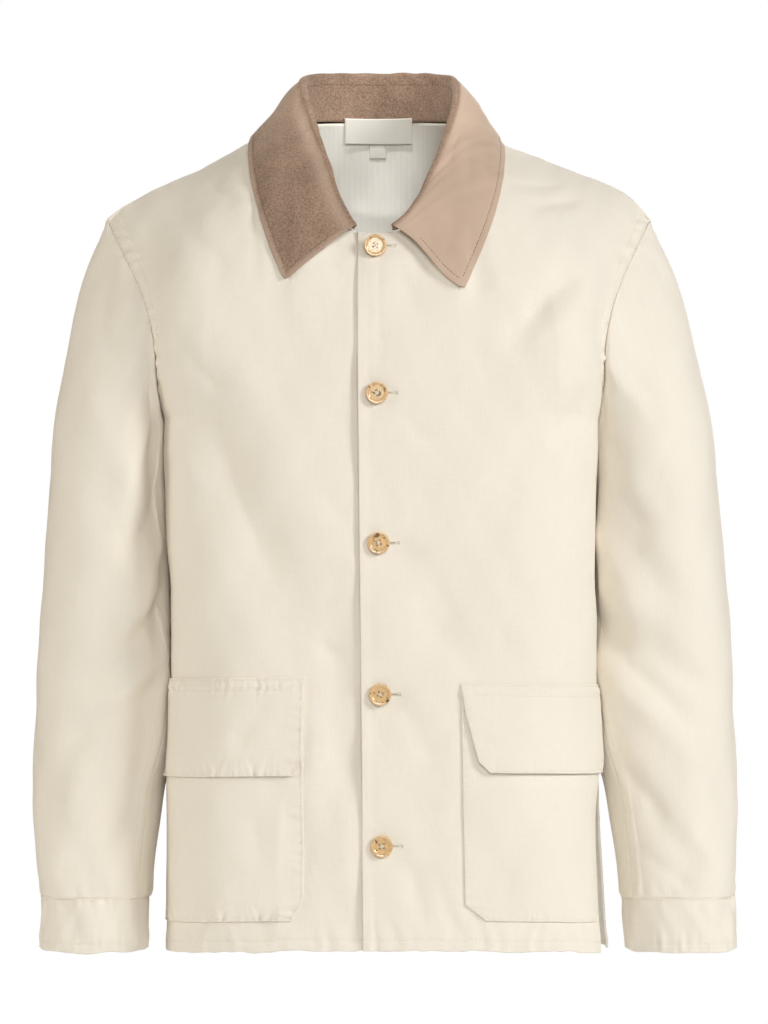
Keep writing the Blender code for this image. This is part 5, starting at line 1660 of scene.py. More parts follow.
class Weaver:
    """Makes a material, and adds nodes to it that are linked as they come."""

    def __init__(self, name, roughness, **values):
        self.material = bpy.data.materials.new(name)
        self.material.use_nodes = True
        self.tree = self.material.node_tree
        self.shader = self.tree.nodes["Principled BSDF"]
        self.shader.inputs["Roughness"].default_value = roughness
        for socket, value in values.items():
            self.shader.inputs[socket.replace("_", " ")].default_value = value

    def add(self, kind, inputs=None, **settings):
        """A node, whose inputs are values or the outputs of other nodes."""
        node = self.tree.nodes.new(kind)
        for key, value in settings.items():
            setattr(node, key, value)
        for key, value in (inputs or {}).items():
            if isinstance(value, bpy.types.NodeSocket):
                self.tree.links.new(value, node.inputs[key])
            else:
                node.inputs[key].default_value = value
        return node

    def where(self, scale, source="cloth", turn=0.0):
        """Coordinates in metres, over the cloth or in space, times a scale on each axis."""
        if source == "cloth":
            place = self.add("ShaderNodeUVMap", uv_map=source).outputs["UV"]
        else:
            place = self.add("ShaderNodeTexCoord").outputs["Object"]
        return self.add("ShaderNodeMapping", {
            "Vector": place, "Scale": scale, "Rotation": (0.0, 0.0, math.radians(turn)),
        }).outputs["Vector"]

    def noise(self, scale, detail=3.0, roughness=0.55, source="space"):
        """Noise of a scale on each axis, or of one that is the same on all three."""
        scale = scale if isinstance(scale, tuple) else (scale, scale, scale)
        return self.add("ShaderNodeTexNoise", {
            "Vector": self.where(scale, source), "Scale": 1.0, "Detail": detail,
            "Roughness": roughness,
        }).outputs["Fac"]

    def yarns(self, across, along, detail=2.0):
        """Noise over the cloth, stretched along its threads."""
        return self.noise((across, along, 1.0), detail, source="cloth")

    def ribs(self, scale, distortion, turn=0.0):
        """Even ribs over the cloth, turned by some degrees."""
        return self.add("ShaderNodeTexWave", {
            "Vector": self.where((1.0, 1.0, 1.0), turn=turn), "Scale": scale,
            "Distortion": distortion, "Detail": 1.0, "Detail Scale": 2.0,
        }, bands_direction="X").outputs["Fac"]

    def spread(self, value, low, high, to_low=0.0, to_high=1.0):
        return self.add("ShaderNodeMapRange", {
            "Value": value, "From Min": low, "From Max": high,
            "To Min": to_low, "To Max": to_high,
        }).outputs["Result"]

    def mixed(self, share, first, second):
        mix = self.add("ShaderNodeMix", {0: share, 6: first, 7: second}, data_type="RGBA")
        return mix.outputs[2]

    def tones(self, share, colour, first, second):
        """Between two tones of one colour."""
        return self.mixed(share, shade(colour, first), shade(colour, second))

    def over(self, base, colour, tone, value, *limits):
        """A tone of the colour laid over the base, by how a value spreads."""
        return self.mixed(self.spread(value, *limits), base, shade(colour, tone))

    def finished(self, base, *bumps):
        """The material with its colour, and its bumps from the coarsest to the finest."""
        self.tree.links.new(base, self.shader.inputs["Base Color"])
        below = {}
        for height, distance, strength in bumps:
            relief = {"Height": height, "Distance": distance, "Strength": strength}
            normal = self.add("ShaderNodeBump", {**relief, **below}).outputs["Normal"]
            below = {"Normal": normal}
        if bumps:
            self.tree.links.new(normal, self.shader.inputs["Normal"])
        return self.material


def shade(colour, factor):
    return tuple(part * factor for part in colour[:3]) + (1.0,)


def cotton_material(colour):
    """Slubby cream twill: fine diagonal ribs, thicker yarns and a soft unevenness."""
    weave = Weaver(
        "cotton_twill", 0.88, Sheen_Weight=0.22, Sheen_Roughness=0.55,
        Sheen_Tint=(1.0, 0.97, 0.92, 1.0), Specular_IOR_Level=0.25,
    )
    yarns = {0: weave.yarns(640.0, 42.0), 1: weave.yarns(60.0, 700.0)}
    slubs = weave.add("ShaderNodeMath", yarns, operation="ADD").outputs[0]
    twill = weave.ribs(300.0, 1.2, 63.0)
    cloudy = weave.noise((11.0, 11.0, 7.0), 4.0)
    base = weave.tones(weave.spread(slubs, 0.75, 1.3), colour, 0.975, 1.01)
    base = weave.over(base, colour, 0.955, cloudy, 0.35, 0.7, 0.0, 0.5)
    base = weave.over(base, colour, 0.86, twill, 0.0, 0.6, 0.22, 0.0)
    crumple = weave.noise((74.0, 74.0, 52.0), 4.0, 0.5)
    return weave.finished(
        base, (crumple, 0.0011, 0.6), (slubs, 0.0002, 0.35), (twill, 0.00016, 0.45)
    )


def inside_material(colour):
    """The twill's inner face: cooler, with fine upright ribs."""
    weave = Weaver("twill_inside", 0.92, Specular_IOR_Level=0.2)
    ribs, slubs = weave.ribs(62.0, 1.4), weave.yarns(300.0, 24.0, 3.0)
    base = weave.tones(weave.spread(ribs, 0.1, 0.9), colour, 0.975, 1.01)
    base = weave.over(base, colour, 0.95, slubs, 0.35, 0.7, 0.0, 0.6)
    return weave.finished(base, (ribs, 0.0004, 0.15), (slubs, 0.0003, 0.25))


def suede_material(dark, light):
    """Napped suede: darker or lighter partly as the nap lies and partly as painted shade
    and light for how the key light falls on each leaf, mottled where it was brushed.
    """
    weave = Weaver(
        "taupe_suede", 0.95, Sheen_Weight=0.35, Sheen_Roughness=0.45,
        Sheen_Tint=(1.0, 0.90, 0.80, 1.0), Specular_IOR_Level=0.12,
    )
    # the nap mark is partly painted shade: it darkens the leaf turned away from the key
    # light
    nap = weave.add("ShaderNodeAttribute", attribute_name="nap").outputs["Fac"]
    brushed = weave.noise((34.0, 34.0, 15.0), 5.0, 0.62)
    fuzz, fibre = weave.noise(620.0, 3.0, 0.75), weave.noise(300.0, 3.0, 0.7)
    patches, grain = weave.spread(brushed, 0.36, 0.66), weave.spread(fuzz, 0.34, 0.66)
    ends = weave.tones(patches, dark, 0.62, 0.82)
    tips = weave.tones(patches, dark, 1.30, 1.62)
    smoothed = weave.tones(patches, light, 0.95, 1.04)
    base = weave.mixed(nap, weave.mixed(grain, ends, tips), smoothed)
    return weave.finished(
        base, (brushed, 0.0012, 0.35), (fibre, 0.0005, 0.55), (fuzz, 0.0002, 0.6)
    )


def horn_material(colour, speck):
    """Polished honey horn with darker streaks and small specks."""
    weave = Weaver(
        "honey_horn", 0.16, Coat_Weight=0.5, Coat_Roughness=0.06, Specular_IOR_Level=0.6,
        Subsurface_Weight=0.12, Subsurface_Radius=(0.004, 0.002, 0.001),
        Subsurface_Scale=1.0,
    )
    streaks = weave.noise((90.0, 90.0, 240.0), 4.0, 0.6)
    specks, blots = weave.noise(520.0, 2.0, 0.5), weave.noise(210.0, 1.0)
    base = weave.tones(weave.spread(streaks, 0.35, 0.75), colour, 1.06, 0.84)
    base = weave.mixed(weave.spread(specks, 0.63, 0.69), base, speck)
    base = weave.mixed(weave.spread(blots, 0.66, 0.70), base, speck)
    return weave.finished(base, (specks, 0.0001, 0.2))


def tape_material(colour):
    """Smooth woven tape with fine cross ribs."""
    weave = Weaver("woven_tape", 0.7, Sheen_Weight=0.15)
    ribs, yarn = weave.ribs(260.0, 0.3, 90.0), weave.yarns(60.0, 700.0)
    base = weave.tones(weave.spread(ribs, 0.0, 1.0), colour, 0.975, 1.01)
    base = weave.over(base, colour, 0.95, yarn, 0.4, 0.7, 0.0, 0.4)
    return weave.finished(base, (ribs, 0.0001, 0.2))


def thread_material(name, colour):
    """Twisted cotton thread."""
    weave = Weaver(name, 0.75, Sheen_Weight=0.1)
    twist = weave.spread(weave.noise(900.0, 1.0), 0.3, 0.7)
    return weave.finished(weave.tones(twist, colour, 0.88, 1.05))


def floor_material():
    """The studio's plain pale floor."""
    weave = Weaver("studio_floor", 0.9)
    grain = weave.noise(3.0, 2.0)
    return weave.finished(weave.tones(grain, (1.0, 1.0, 1.0), 0.86, 0.90))

@lru_cache(maxsize=None)
def materials():
    """Every finish of the jacket, made once from the colours that are set."""
    cloth, trim = bpy.context.scene.jacket_cloth, bpy.context.scene.jacket_trim
    return SimpleNamespace(
        cotton=cotton_material(cloth.cotton),
        inside=inside_material(cloth.inside),
        suede=suede_material(trim.suede_dark, trim.suede_light),
        horn=horn_material(trim.horn, tuple(trim.speck) + (1.0,)),
        tape=tape_material(trim.tape),
        thread=thread_material("thread", trim.thread),
        dark_thread=thread_material("collar_thread", trim.dark_thread),
        # the buttonhole slit's strip is thread colour at half: painted shadow for the shade
        # inside the cut
        slit=thread_material("buttonhole_slit", shade(trim.thread, 0.5)),
    )


# -------------------------------------------------------------------------- settings


def colour(name, description, default):
    return bpy.props.FloatVectorProperty(
        name=name, description=description, default=default, subtype="COLOR",
        min=0.0, max=1.0,
    )


def number(name, description, default, **limits):
    return bpy.props.FloatProperty(
        name=name, description=description, default=default, **limits
    )


def watts(name, description, default):
    return number(name, description, default, min=0.0, unit="POWER")


class JacketCloth(bpy.types.PropertyGroup):
    """The cotton and how it lies."""

    cotton: colour("Cotton", "Colour of the twill", (0.868, 0.808, 0.704))
    inside: colour("Inside", "Colour of the twill's inner face", (0.90, 0.87, 0.80))
    creases: number("Creases", "Strength of the creases", 2.2, min=0.0, max=4.0)
    puckers: number("Puckers", "Strength of the seams' gathers", 1.0, min=0.0, max=2.0)


class JacketTrim(bpy.types.PropertyGroup):
    """The collar, buttons, tags and thread."""

    # the dark and light suede are partly the nap and partly painted shade and painted
    # light, one for each leaf of the collar
    suede_dark: colour("Dark suede", "Seen against its nap", (0.285, 0.193, 0.137))
    suede_light: colour("Light suede", "Seen along its nap", (0.58, 0.435, 0.335))
    horn: colour("Horn", "Colour of the buttons", (0.74, 0.50, 0.25))
    speck: colour("Specks", "The buttons' dark specks", (0.20, 0.10, 0.045))
    tape: colour("Tape", "Colour of the neck label", (0.86, 0.83, 0.75))
    thread: colour("Thread", "Colour of the sewing thread", (0.80, 0.74, 0.62))
    dark_thread: colour("Collar thread", "Thread on the suede", (0.115, 0.076, 0.052))
    stitch: number("Stitch", "Length of a stitch", 0.0027, unit="LENGTH")
    pitch: number("Pitch", "From one stitch to the next", 0.0034, unit="LENGTH")
    thread_thickness: number("Thread thickness", "Across it", 0.0005, unit="LENGTH")


class JacketStudio(bpy.types.PropertyGroup):
    """The lights and the backdrop."""

    key: watts("Key light", "Power of the light at the right", 82.0)
    front: watts("Front light", "Power of the large light over the camera", 60.0)
    side: watts("Side light", "Power of the warm light at the left", 50.0)
    rear: watts("Rear light", "Power of the large light behind", 108.0)
    neck: watts("Neck light", "Power of the lamp that lights the open neck", 26.0)
    around: number("Light all round", "Strength of the warm room", 0.15, min=0.0)
    floor: number("Floor", "Height of the floor", -1.15, unit="LENGTH")


# ------------------------------------------------------------------------- operators


def inner_face(cloth, outwards, wall):
    """The cloth's other face, across its wall."""
    return cloth.grid - outwards * wall


def both_faces(cloth):
    """Outer and inner face of the collar, whose grid lies in its middle."""
    half = cloth.normals * COLLAR_WALL / 2
    return cloth.grid + half, cloth.grid - half


def collar_nap_and_shade(cloth):
    """How the suede's nap lies, with painted shade: 1 is light along it, 0 is dark against
    it and in painted shade on the wearer's right leaf, away from the key light.
    """
    smooth_by, rough_from, over = COLLAR_NAP_AND_SHADE
    smooth_lit_leaf = ease(cloth.reach / smooth_by)
    rough_shaded_leaf = 0.4 * smooth_lit_leaf * ease((rough_from - cloth.reach) / over)
    light, off, width = NAP_RUBBED
    rough_shaded_leaf = np.maximum(rough_shaded_leaf, light * bell(cloth.ends - off, width))
    light, off, width = NAP_ROLL
    off_roll = cloth.top[STAND_ROWS + FOLD_ROWS] - cloth.top
    by_roll = bell(off_roll - off, width) * ease(cloth.reach / 0.5)
    rough_shaded_leaf = np.maximum(rough_shaded_leaf, light * by_roll)
    return np.where(cloth.side > 0, smooth_lit_leaf, rough_shaded_leaf) * cloth.fallen


def add_sheet(node, cloth, inner, finishes, flat, area, rests_on, held="hung",
              slot="cotton_twill", kind="cloth", **shell):
    """A cloth piece that stands for a CAD node, whose solid it hides."""
    piece = add_shell(f"{node}_{kind}", cloth, inner, finishes, **shell)
    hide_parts(node)


def twill():
    """The finishes of the cotton's outer and inner face."""
    return [materials().cotton, materials().inside]


class JACKET_OT_fronts(bpy.types.Operator):
    """Make both fronts, the wearer's left one lapping over the right"""

    bl_idname = "jacket.fronts"
    bl_label = "Fronts"

    def execute(self, context):
        for side, word in WORD.items():
            cloth = front_cloth(side)
            inner = inner_face(cloth, body_outwards(cloth.grid), WALL)
            add_sheet(
                f"front_{word}", cloth, inner, twill(), FRONT_FLAT, FRONT_CUT, ["back"],
                free=("left", "bottom"),
            )
        return {"FINISHED"}


class JACKET_OT_back(bpy.types.Operator):
    """Make the back"""

    bl_idname = "jacket.back"
    bl_label = "Back"

    def execute(self, context):
        cloth = back_cloth()
        inner = inner_face(cloth, body_outwards(cloth.grid), WALL)
        add_sheet(
            "back", cloth, inner, twill(), BACK_FLAT, BACK_CUT,
            ["front_left", "front_right"], free=("bottom",),
        )
        return {"FINISHED"}


class JACKET_OT_sleeves(bpy.types.Operator):
    """Make the upper and under pieces of both sleeves"""

    bl_idname = "jacket.sleeves"
    bl_label = "Sleeves"

    def execute(self, context):
        for side, word in WORD.items():
            for part, (flat, area) in SLEEVE_CUT.items():
                cloth = sleeve_cloth(side, part)
                inner = inner_face(cloth, sleeve_outwards(cloth.grid, side), WALL)
                add_sheet(
                    f"sleeve_{word}_{part}", cloth, inner, twill(), flat, area,
                    [f"front_{word}", "back"], free=(),
                )
        return {"FINISHED"}


class JACKET_OT_cuffs(bpy.types.Operator):
    """Make the turned-up band at the end of each sleeve"""

    bl_idname = "jacket.cuffs"
    bl_label = "Cuffs"

    def execute(self, context):
        for side, word in WORD.items():
            cloth = cuff_cloth(side)
            outwards = sleeve_outwards(cloth.grid, side)
            inner = inner_face(cloth, outwards, WALL + CUFF_PROUD)
            add_sheet(
                f"cuff_{word}", cloth, inner, twill(), CUFF_FLAT, None,
                [f"sleeve_{word}_upper"], closed=True,
            )
        return {"FINISHED"}


class JACKET_OT_collar(bpy.types.Operator):
    """Make the folded suede collar"""

    bl_idname = "jacket.collar"
    bl_label = "Collar"

    def execute(self, context):
        cloth = collar_cloth()
        outer, inner = both_faces(cloth)
        # the collar's nap mark carries painted shade as well as the nap
        add_sheet(
            "collar", SimpleNamespace(grid=outer, uv=cloth.uv), inner, [materials().suede],
            COLLAR_FLAT, COLLAR_CUT, ["front_left", "front_right", "back"], "folded",
            "taupe_suede", "suede", marks={"nap": collar_nap_and_shade(cloth)},
        )
        return {"FINISHED"}


class JACKET_OT_pockets(bpy.types.Operator):
    """Make both patch pockets"""

    bl_idname = "jacket.pockets"
    bl_label = "Pockets"

    def execute(self, context):
        for side, word in WORD.items():
            cloth = pocket_cloth(side)
            inner = inner_face(cloth, body_outwards(cloth.grid), PATCH_WALL)
            add_sheet(
                f"pocket_{word}", cloth, inner, [materials().cotton], POCKET_FLAT, None,
                [f"front_{word}"], "laid",
            )
        return {"FINISHED"}


class JACKET_OT_flaps(bpy.types.Operator):
    """Make both pocket flaps"""

    bl_idname = "jacket.flaps"
    bl_label = "Flaps"

    def execute(self, context):
        for side, word in WORD.items():
            cloth = flap_cloth(side)
            inner = inner_face(cloth, body_outwards(cloth.grid), PATCH_WALL)
            add_sheet(
                f"flap_{word}", cloth, inner, [materials().cotton], FLAP_FLAT, None,
                [f"pocket_{word}", f"front_{word}"],
            )
        return {"FINISHED"}


class JACKET_OT_buttons(bpy.types.Operator):
    """Turn one horn button with its four holes, and sew on five copies"""

    bl_idname = "jacket.buttons"
    bl_label = "Buttons"

    def execute(self, context):
        finish = materials()
        for number, spin in enumerate(BUTTON_SPIN, 1):
            node = f"button_{number}"
            low, high = (Vector(corner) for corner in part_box(node))
            centre = (low + high) / 2
            place = Matrix.Translation(Vector((centre.x, high.y, centre.z)))
            place = place @ Matrix.Rotation(math.radians(spin), 4, "Y")
            button, cross = turned_button(f"{node}_horn"), button_thread(f"{node}_thread")
            for piece, material, slot in (
                (button, finish.horn, "honey_horn"), (cross, finish.thread, "cotton_twill")
            ):
                piece.data.transform(place)
                piece.data.materials.append(material)
                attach(piece, BODY)
            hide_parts(node)
        return {"FINISHED"}


def select_edit(button, kind, chosen):
    """Selects the faces or edges of a mesh in edit mode for which a test holds."""
    shape = bmesh.from_edit_mesh(button.data)
    for part in getattr(shape, kind):
        part.select_set(bool(chosen(part)))
    bmesh.update_edit_mesh(button.data)


def at_rim(edge):
    """Whether an edge of a button is a sharp one of its rim."""
    middle = (edge.verts[0].co + edge.verts[1].co) / 2
    outermost = math.hypot(middle.x, middle.z) > (BUTTON_RADIUS - 1.2) * MM
    return outermost and edge.calc_face_angle(0.0) > math.radians(30.0)


def turned_button(name):
    """A button that faces -Y, its back at the origin: rim, dished face and holes."""
    bpy.ops.object.select_all(action="DESELECT")
    bpy.ops.mesh.primitive_cylinder_add(
        vertices=48, radius=BUTTON_RADIUS * MM, depth=BUTTON_THICKNESS * MM,
        location=(0.0, -BUTTON_THICKNESS * MM / 2, 0.0), rotation=(math.pi / 2, 0.0, 0.0),
    )
    button = bpy.context.object
    button.name = button.data.name = name
    bpy.ops.object.transform_apply(location=True, rotation=True, scale=True)
    bpy.ops.object.mode_set(mode="EDIT")
    select_edit(button, "faces", lambda face: face.normal.y < -0.9)
    for inset, deeper in BUTTON_FACE:
        bpy.ops.mesh.inset(thickness=inset * MM, depth=0.0)
        bpy.ops.transform.translate(value=(0.0, deeper * MM, 0.0))
    bpy.ops.mesh.select_all(action="DESELECT")
    select_edit(button, "edges", at_rim)
    bpy.ops.mesh.bevel(offset=BUTTON_RIM * MM, segments=3, affect="EDGES")
    bpy.ops.mesh.select_all(action="DESELECT")
    bpy.ops.object.mode_set(mode="OBJECT")
    for dx, dz in ((1, 1), (1, -1), (-1, 1), (-1, -1)):
        bpy.ops.mesh.primitive_cylinder_add(
            vertices=16, radius=BUTTON_HOLE * MM, depth=20 * MM,
            location=(dx * BUTTON_HOLE_OFF * MM, 0.0, dz * BUTTON_HOLE_OFF * MM),
            rotation=(math.pi / 2, 0.0, 0.0),
        )
        drill = bpy.context.object
        cut = button.modifiers.new("Hole", "BOOLEAN")
        cut.operation, cut.solver, cut.object = "DIFFERENCE", "EXACT", drill
        bpy.ops.object.select_all(action="DESELECT")
        button.select_set(True)
        bpy.context.view_layer.objects.active = button
        bpy.ops.object.modifier_apply(modifier=cut.name)
        bpy.data.objects.remove(drill)
    bpy.ops.object.shade_smooth_by_angle(angle=math.radians(35.0))
    bpy.ops.object.select_all(action="DESELECT")
    return button


def button_thread(name):
    """Two crossed pairs of strands through the four holes, over the dished face."""
    floor = -(BUTTON_THICKNESS - sum(deeper for _, deeper in BUTTON_FACE))
    reach, rise, over = BUTTON_HOLE_OFF, *STRAND_ARCH
    vertices, faces = [], []
    for way in (1.0, -1.0):
        side = unit(np.array((way, 0.0, -1.0)))
        start, end = (np.array((x, floor + 1.0, x * way)) for x in (-reach, reach))
        for off in (-STRAND_OFF, STRAND_OFF):
            base = len(vertices)
            for share in np.linspace(0.0, 1.0, STRAND_RINGS):
                lift = rise * math.sin(math.pi * share) ** 0.6 + over * way
                middle = start + (end - start) * share + side * off
                middle -= np.array((0.0, lift, 0.0))
                for angle in np.radians(np.arange(0.0, 360.0, 60.0)):
                    out = np.array((0.0, STRAND_RADIUS * math.sin(angle), 0.0))
                    vertices.append(middle + side * STRAND_RADIUS * math.cos(angle) + out)
            faces += (grid_quads(STRAND_RINGS, 6, closed=True) + base).tolist()
            faces.append(range(base + 5, base - 1, -1))
            faces.append(range(len(vertices) - 6, len(vertices)))
    mesh = bpy.data.meshes.new(name)
    places = (np.array(vertices) * MM).tolist()
    mesh.from_pydata(places, [], [tuple(face) for face in faces])
    shape = bmesh.new()
    shape.from_mesh(mesh)
    bmesh.ops.recalc_face_normals(shape, faces=shape.faces)
    shape.to_mesh(mesh)
    shape.free()
    mesh.shade_smooth()
    piece = bpy.data.objects.new(name, mesh)
    bpy.context.collection.objects.link(piece)
    return piece


class JACKET_OT_buttonholes(bpy.types.Operator):
    """Sew a corded buttonhole beside each button, with a dark strip of painted shadow along
    its slit
    """

    bl_idname = "jacket.buttonholes"
    bl_label = "Buttonholes"

    def execute(self, context):
        finish = materials()
        tree = tree_of([front_cloth(1.0).grid])

        def on_cloth(places):
            """Points and normals of the cloth at some places across and up."""
            points, normals = [], []
            for x, z in places:
                start, back = Vector((x, -400.0, z)), Vector((0.0, 1.0, 0.0))
                hit, normal, _, _ = tree.ray_cast(start, back)
                points.append(np.array(hit))
                normals.append(np.array(normal) * (-1.0 if normal.y > 0 else 1.0))
            return np.array(points), np.array(normals)

        rows, slit_shadows = [], []
        start, end = BUTTONHOLE
        for height in BUTTON_HEIGHTS:
            bars = [
                ((x, height + BUTTONHOLE_SLIT * way), (x, height + BUTTONHOLE_HALF * way))
                for x in np.arange(start, end, BUTTONHOLE_PITCH) for way in (1.0, -1.0)
            ]
            for x in end + np.arange(0.0, 2.0, 0.45):
                bars.append(((x, height - BUTTONHOLE_BAR), (x, height + BUTTONHOLE_BAR)))
            first, facing = on_cloth(near for near, _ in bars)
            rows.append((first, on_cloth(far for _, far in bars)[0], facing))
            # a dark strip along the middle of each buttonhole: painted shadow for the shade
            # in its cut
            line, facing = on_cloth((x, height) for x in np.linspace(start, end, 12))
            slit_shadows.append((line[:1], line[-1:], facing[5:6]))
        bars = add_threads("buttonhole_stitches", rows, BUTTONHOLE_THREAD, finish.thread)
        slit = add_threads("buttonhole_slits", slit_shadows, SLIT_SHADOW_WIDTH, finish.slit)
        bars.data.name, slit.data.name = bars.name, slit.name
        return {"FINISHED"}


class JACKET_OT_label(bpy.types.Operator):
    """Make the bare neck label and size tab"""

    bl_idname = "jacket.label"
    bl_label = "Label and tab"

    def execute(self, context):
        back = back_cloth()
        inside = inner_face(back, body_outwards(back.grid), WALL)
        tree = tree_of([inside, *reversed(both_faces(collar_cloth()))])
        rows = []
        for name, box in (("label", LABEL), ("size_tab", SIZE_TAB)):
            cloth = tag_cloth(box, tree, TAG_GAP)
            inner = cloth.grid - cloth.normals * LABEL_WALL
            flat = ((box[1] - box[0]) * MM, (box[3] - box[2]) * MM)
            add_sheet(
                name, cloth, inner, [materials().tape],
                tuple(max(part, LEAST_FLAT) for part in flat), None, ["back"],
                slot="woven_tape", kind="tape",
            )
            if name == "label":
                for edge in ("left", "right"):
                    line = line_at(cloth, edge, LABEL_EDGE)
                    rows.append(stitches_along(*line, *LABEL_STITCH))
        add_threads("label_stitches", rows, LABEL_THREAD, materials().thread)
        return {"FINISHED"}


class JACKET_OT_sewing(bpy.types.Operator):
    """Sew the rows of stitches along hems, seams, pockets and collar"""

    bl_idname = "jacket.sewing"
    bl_label = "Sewing"

    def execute(self, context):
        finish, trim = materials(), context.scene.jacket_trim
        size = np.array((trim.stitch, trim.pitch)) / MM

        def sew(name, rows, size=size, thread=finish.thread):
            made = [stitches_along(*row, *size) for row in rows if len(row[0]) > 3]
            return add_threads(f"{name}_stitches", made, trim.thread_thickness / MM, thread)

        def lines(cloth, *table):
            return [line_at(cloth, edge, off, clear) for edge, off, clear in table]

        hem = ("bottom", HEM_STITCH, [("left", 3.0), ("right", 3.0)])
        fell = (EDGE_STITCH, FELL_STITCH)
        shoulder = [("over", 101.0), ("top", 1.5)]
        side_seam = [("below", 0.5), ("bottom", 2.0)]
        rows = []
        for side in WORD:
            armhole = [("right", off, shoulder) for off in fell]
            rows += lines(front_cloth(side), hem, *armhole)
        sew("front", rows)

        seams = [
            (edge, off, clear) for edge in ("left", "right") for off in fell
            for clear in (shoulder, side_seam)
        ]
        sew("back", lines(back_cloth(), hem, *seams))

        seams = [
            (edge, off, [("bottom", 4.0), ("top", 2.0)]) for edge in ("left", "right")
            for off in (EDGE_STITCH, FELL_STITCH - 1.0)
        ]
        rows = []
        for side in WORD:
            rows += lines(sleeve_cloth(side, "upper"), *seams)
        sew("sleeve", rows)

        rows = []
        for side in WORD:
            for row, facing in lines(
                cuff_cloth(side), ("bottom", 2.0, ()), ("bottom", CUFF_STITCH, ())
            ):
                rows.append((np.append(row, row[:1], 0), np.append(facing, facing[:1], 0)))
        sew("cuff", rows)

        patch = (
            ("left", POCKET_STITCH, [("top", 2.0), ("bottom", 1.6)]),
            ("bottom", POCKET_STITCH, [("left", 1.6), ("right", 5.0)]),
        )
        flap_top = [
            ("top", off, [("left", 2.0), ("right", 5.0)])
            for off in (EDGE_STITCH, FLAP_TOP_STITCH)
        ]
        rows = []
        for side in WORD:
            rows += lines(pocket_cloth(side), *patch)
            rows += lines(flap_cloth(side), *patch, *flap_top)
        sew("pocket", rows)

        cloth = collar_cloth()
        shown = SimpleNamespace(**{**vars(cloth), "grid": both_faces(cloth)[0]})
        end = [("top", 6.0), ("bottom", COLLAR_END_ROWS)]
        rows = lines(
            shown, ("top", COLLAR_STITCH, [("left", 6.0), ("right", 6.0)]),
            ("left", COLLAR_STITCH, end), ("right", COLLAR_STITCH, end),
        )
        band, row = np.flatnonzero(shown.reach[0] < COLLAR_BAND), STAND_ROWS - 3
        rows.append((shown.grid[row, band], shown.normals[row, band]))
        piece = sew("collar", rows, size * COLLAR_STITCH_SHARE, finish.dark_thread)
        return {"FINISHED"}


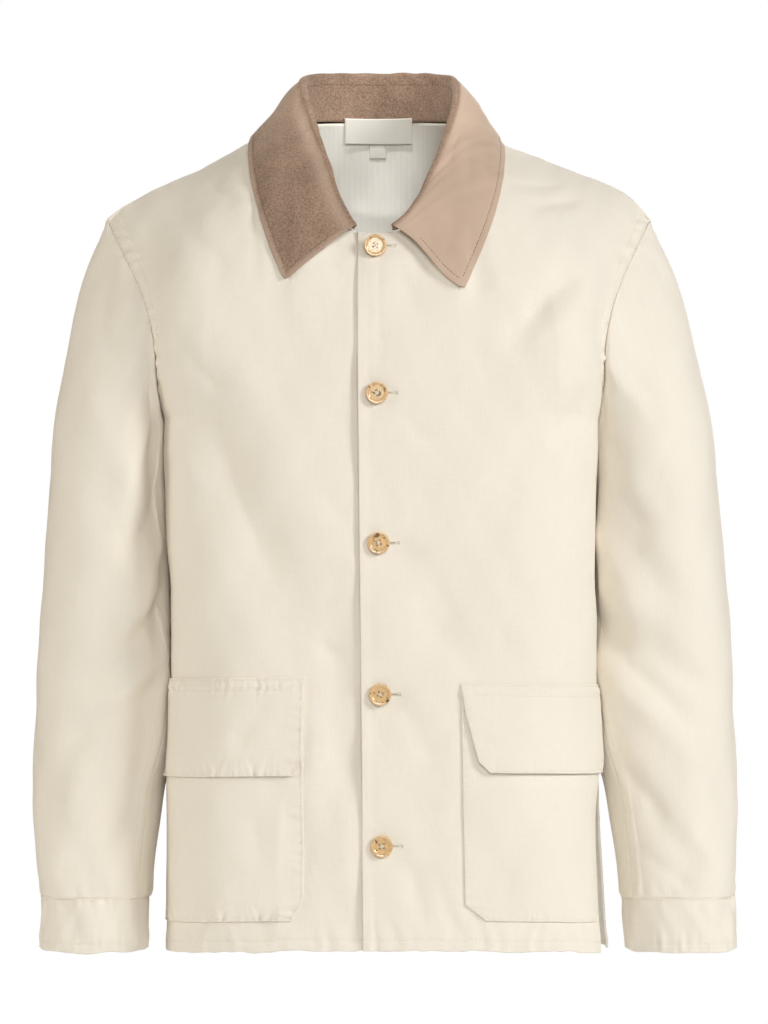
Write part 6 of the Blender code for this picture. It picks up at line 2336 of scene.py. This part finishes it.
class JACKET_OT_studio(bpy.types.Operator):
    """Set the camera, the soft lights and the pale floor"""

    bl_idname = "jacket.studio"
    bl_label = "Studio"

    def execute(self, context):
        studio = context.scene.jacket_studio
        lens = bpy.data.cameras.new("Camera")
        lens.lens, lens.sensor_width, lens.clip_end = CAMERA_LENS, 36.0, 50.0
        camera = bpy.data.objects.new("Camera", lens)
        camera.location, camera.rotation_euler = CAMERA_PLACE, (math.pi / 2, 0.0, 0.0)
        context.collection.objects.link(camera)
        context.scene.camera = camera

        for name, place, aim, size, tint in LIGHTS:
            light = bpy.data.lights.new(name, "SPOT" if name == "neck" else "AREA")
            light.energy, light.color = getattr(studio, name), tint
            if name == "neck":
                light.spot_size, light.spot_blend = math.radians(NECK_BEAM), 1.0
                light.shadow_soft_size = size
            else:
                light.shape, light.size = "DISK", size
            lamp = bpy.data.objects.new(name, light)
            way = Vector(aim) - Vector(place)
            lamp.location = place
            lamp.rotation_euler = way.to_track_quat("-Z", "Y").to_euler()
            lamp.visible_camera = False
            context.collection.objects.link(lamp)

        world = bpy.data.worlds.new("white_room")
        context.scene.world = world
        world.use_nodes = True
        tree = world.node_tree
        room, shown = tree.nodes["Background"], tree.nodes.new("ShaderNodeBackground")
        for node, colour, strength in (
            (room, ROOM_TINT, studio.around), (shown, (1.0, 1.0, 1.0, 1.0), 1.0)
        ):
            node.inputs["Color"].default_value = colour
            node.inputs["Strength"].default_value = strength
        path = tree.nodes.new("ShaderNodeLightPath")
        choose = tree.nodes.new("ShaderNodeMixShader")
        for index, output in enumerate(
            (path.outputs["Is Camera Ray"], room.outputs[0], shown.outputs[0])
        ):
            tree.links.new(output, choose.inputs[index])
        tree.links.new(choose.outputs[0], tree.nodes["World Output"].inputs["Surface"])

        bpy.ops.object.select_all(action="DESELECT")
        bpy.ops.mesh.primitive_circle_add(
            vertices=96, radius=1.6, fill_type="NGON", location=(0.0, 0.0, studio.floor)
        )
        floor = bpy.context.object
        floor.name = floor.data.name = "studio_floor"
        bpy.ops.object.transform_apply(location=True, rotation=True, scale=True)
        floor.data.materials.append(floor_material())
        context.scene.view_settings.view_transform = "Standard"
        context.scene.view_settings.look = "None"
        return {"FINISHED"}


OPERATORS = (
    JACKET_OT_studio, JACKET_OT_fronts, JACKET_OT_back, JACKET_OT_sleeves, JACKET_OT_cuffs,
    JACKET_OT_collar, JACKET_OT_pockets, JACKET_OT_flaps, JACKET_OT_buttons,
    JACKET_OT_buttonholes, JACKET_OT_label, JACKET_OT_sewing,
)
SETTINGS = (
    ("jacket_cloth", JacketCloth), ("jacket_trim", JacketTrim),
    ("jacket_studio", JacketStudio),
)


class JACKET_PT_panel(bpy.types.Panel):
    """The jacket's settings and the steps that make it"""

    bl_idname = "JACKET_PT_panel"
    bl_label = "Barn jacket"
    bl_space_type = "VIEW_3D"
    bl_region_type = "UI"
    bl_category = "Jacket"

    def draw(self, context):
        for name, kind in SETTINGS:
            box = self.layout.box()
            for setting in kind.__annotations__:
                box.prop(getattr(context.scene, name), setting)
        for operator in OPERATORS:
            self.layout.operator(operator.bl_idname)


def register():
    for kind in (*(kind for _, kind in SETTINGS), *OPERATORS, JACKET_PT_panel):
        bpy.utils.register_class(kind)
    for name, kind in SETTINGS:
        setattr(bpy.types.Scene, name, bpy.props.PointerProperty(type=kind))


def unregister():
    for name, _ in SETTINGS:
        delattr(bpy.types.Scene, name)
    for kind in (JACKET_PT_panel, *reversed(OPERATORS), *(kind for _, kind in SETTINGS)):
        bpy.utils.unregister_class(kind)


def main():
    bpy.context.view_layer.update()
    register()
    for operator in OPERATORS:
        group, action = operator.bl_idname.split(".")
        getattr(getattr(bpy.ops, group), action)()


if __name__ == "__main__":
    main()
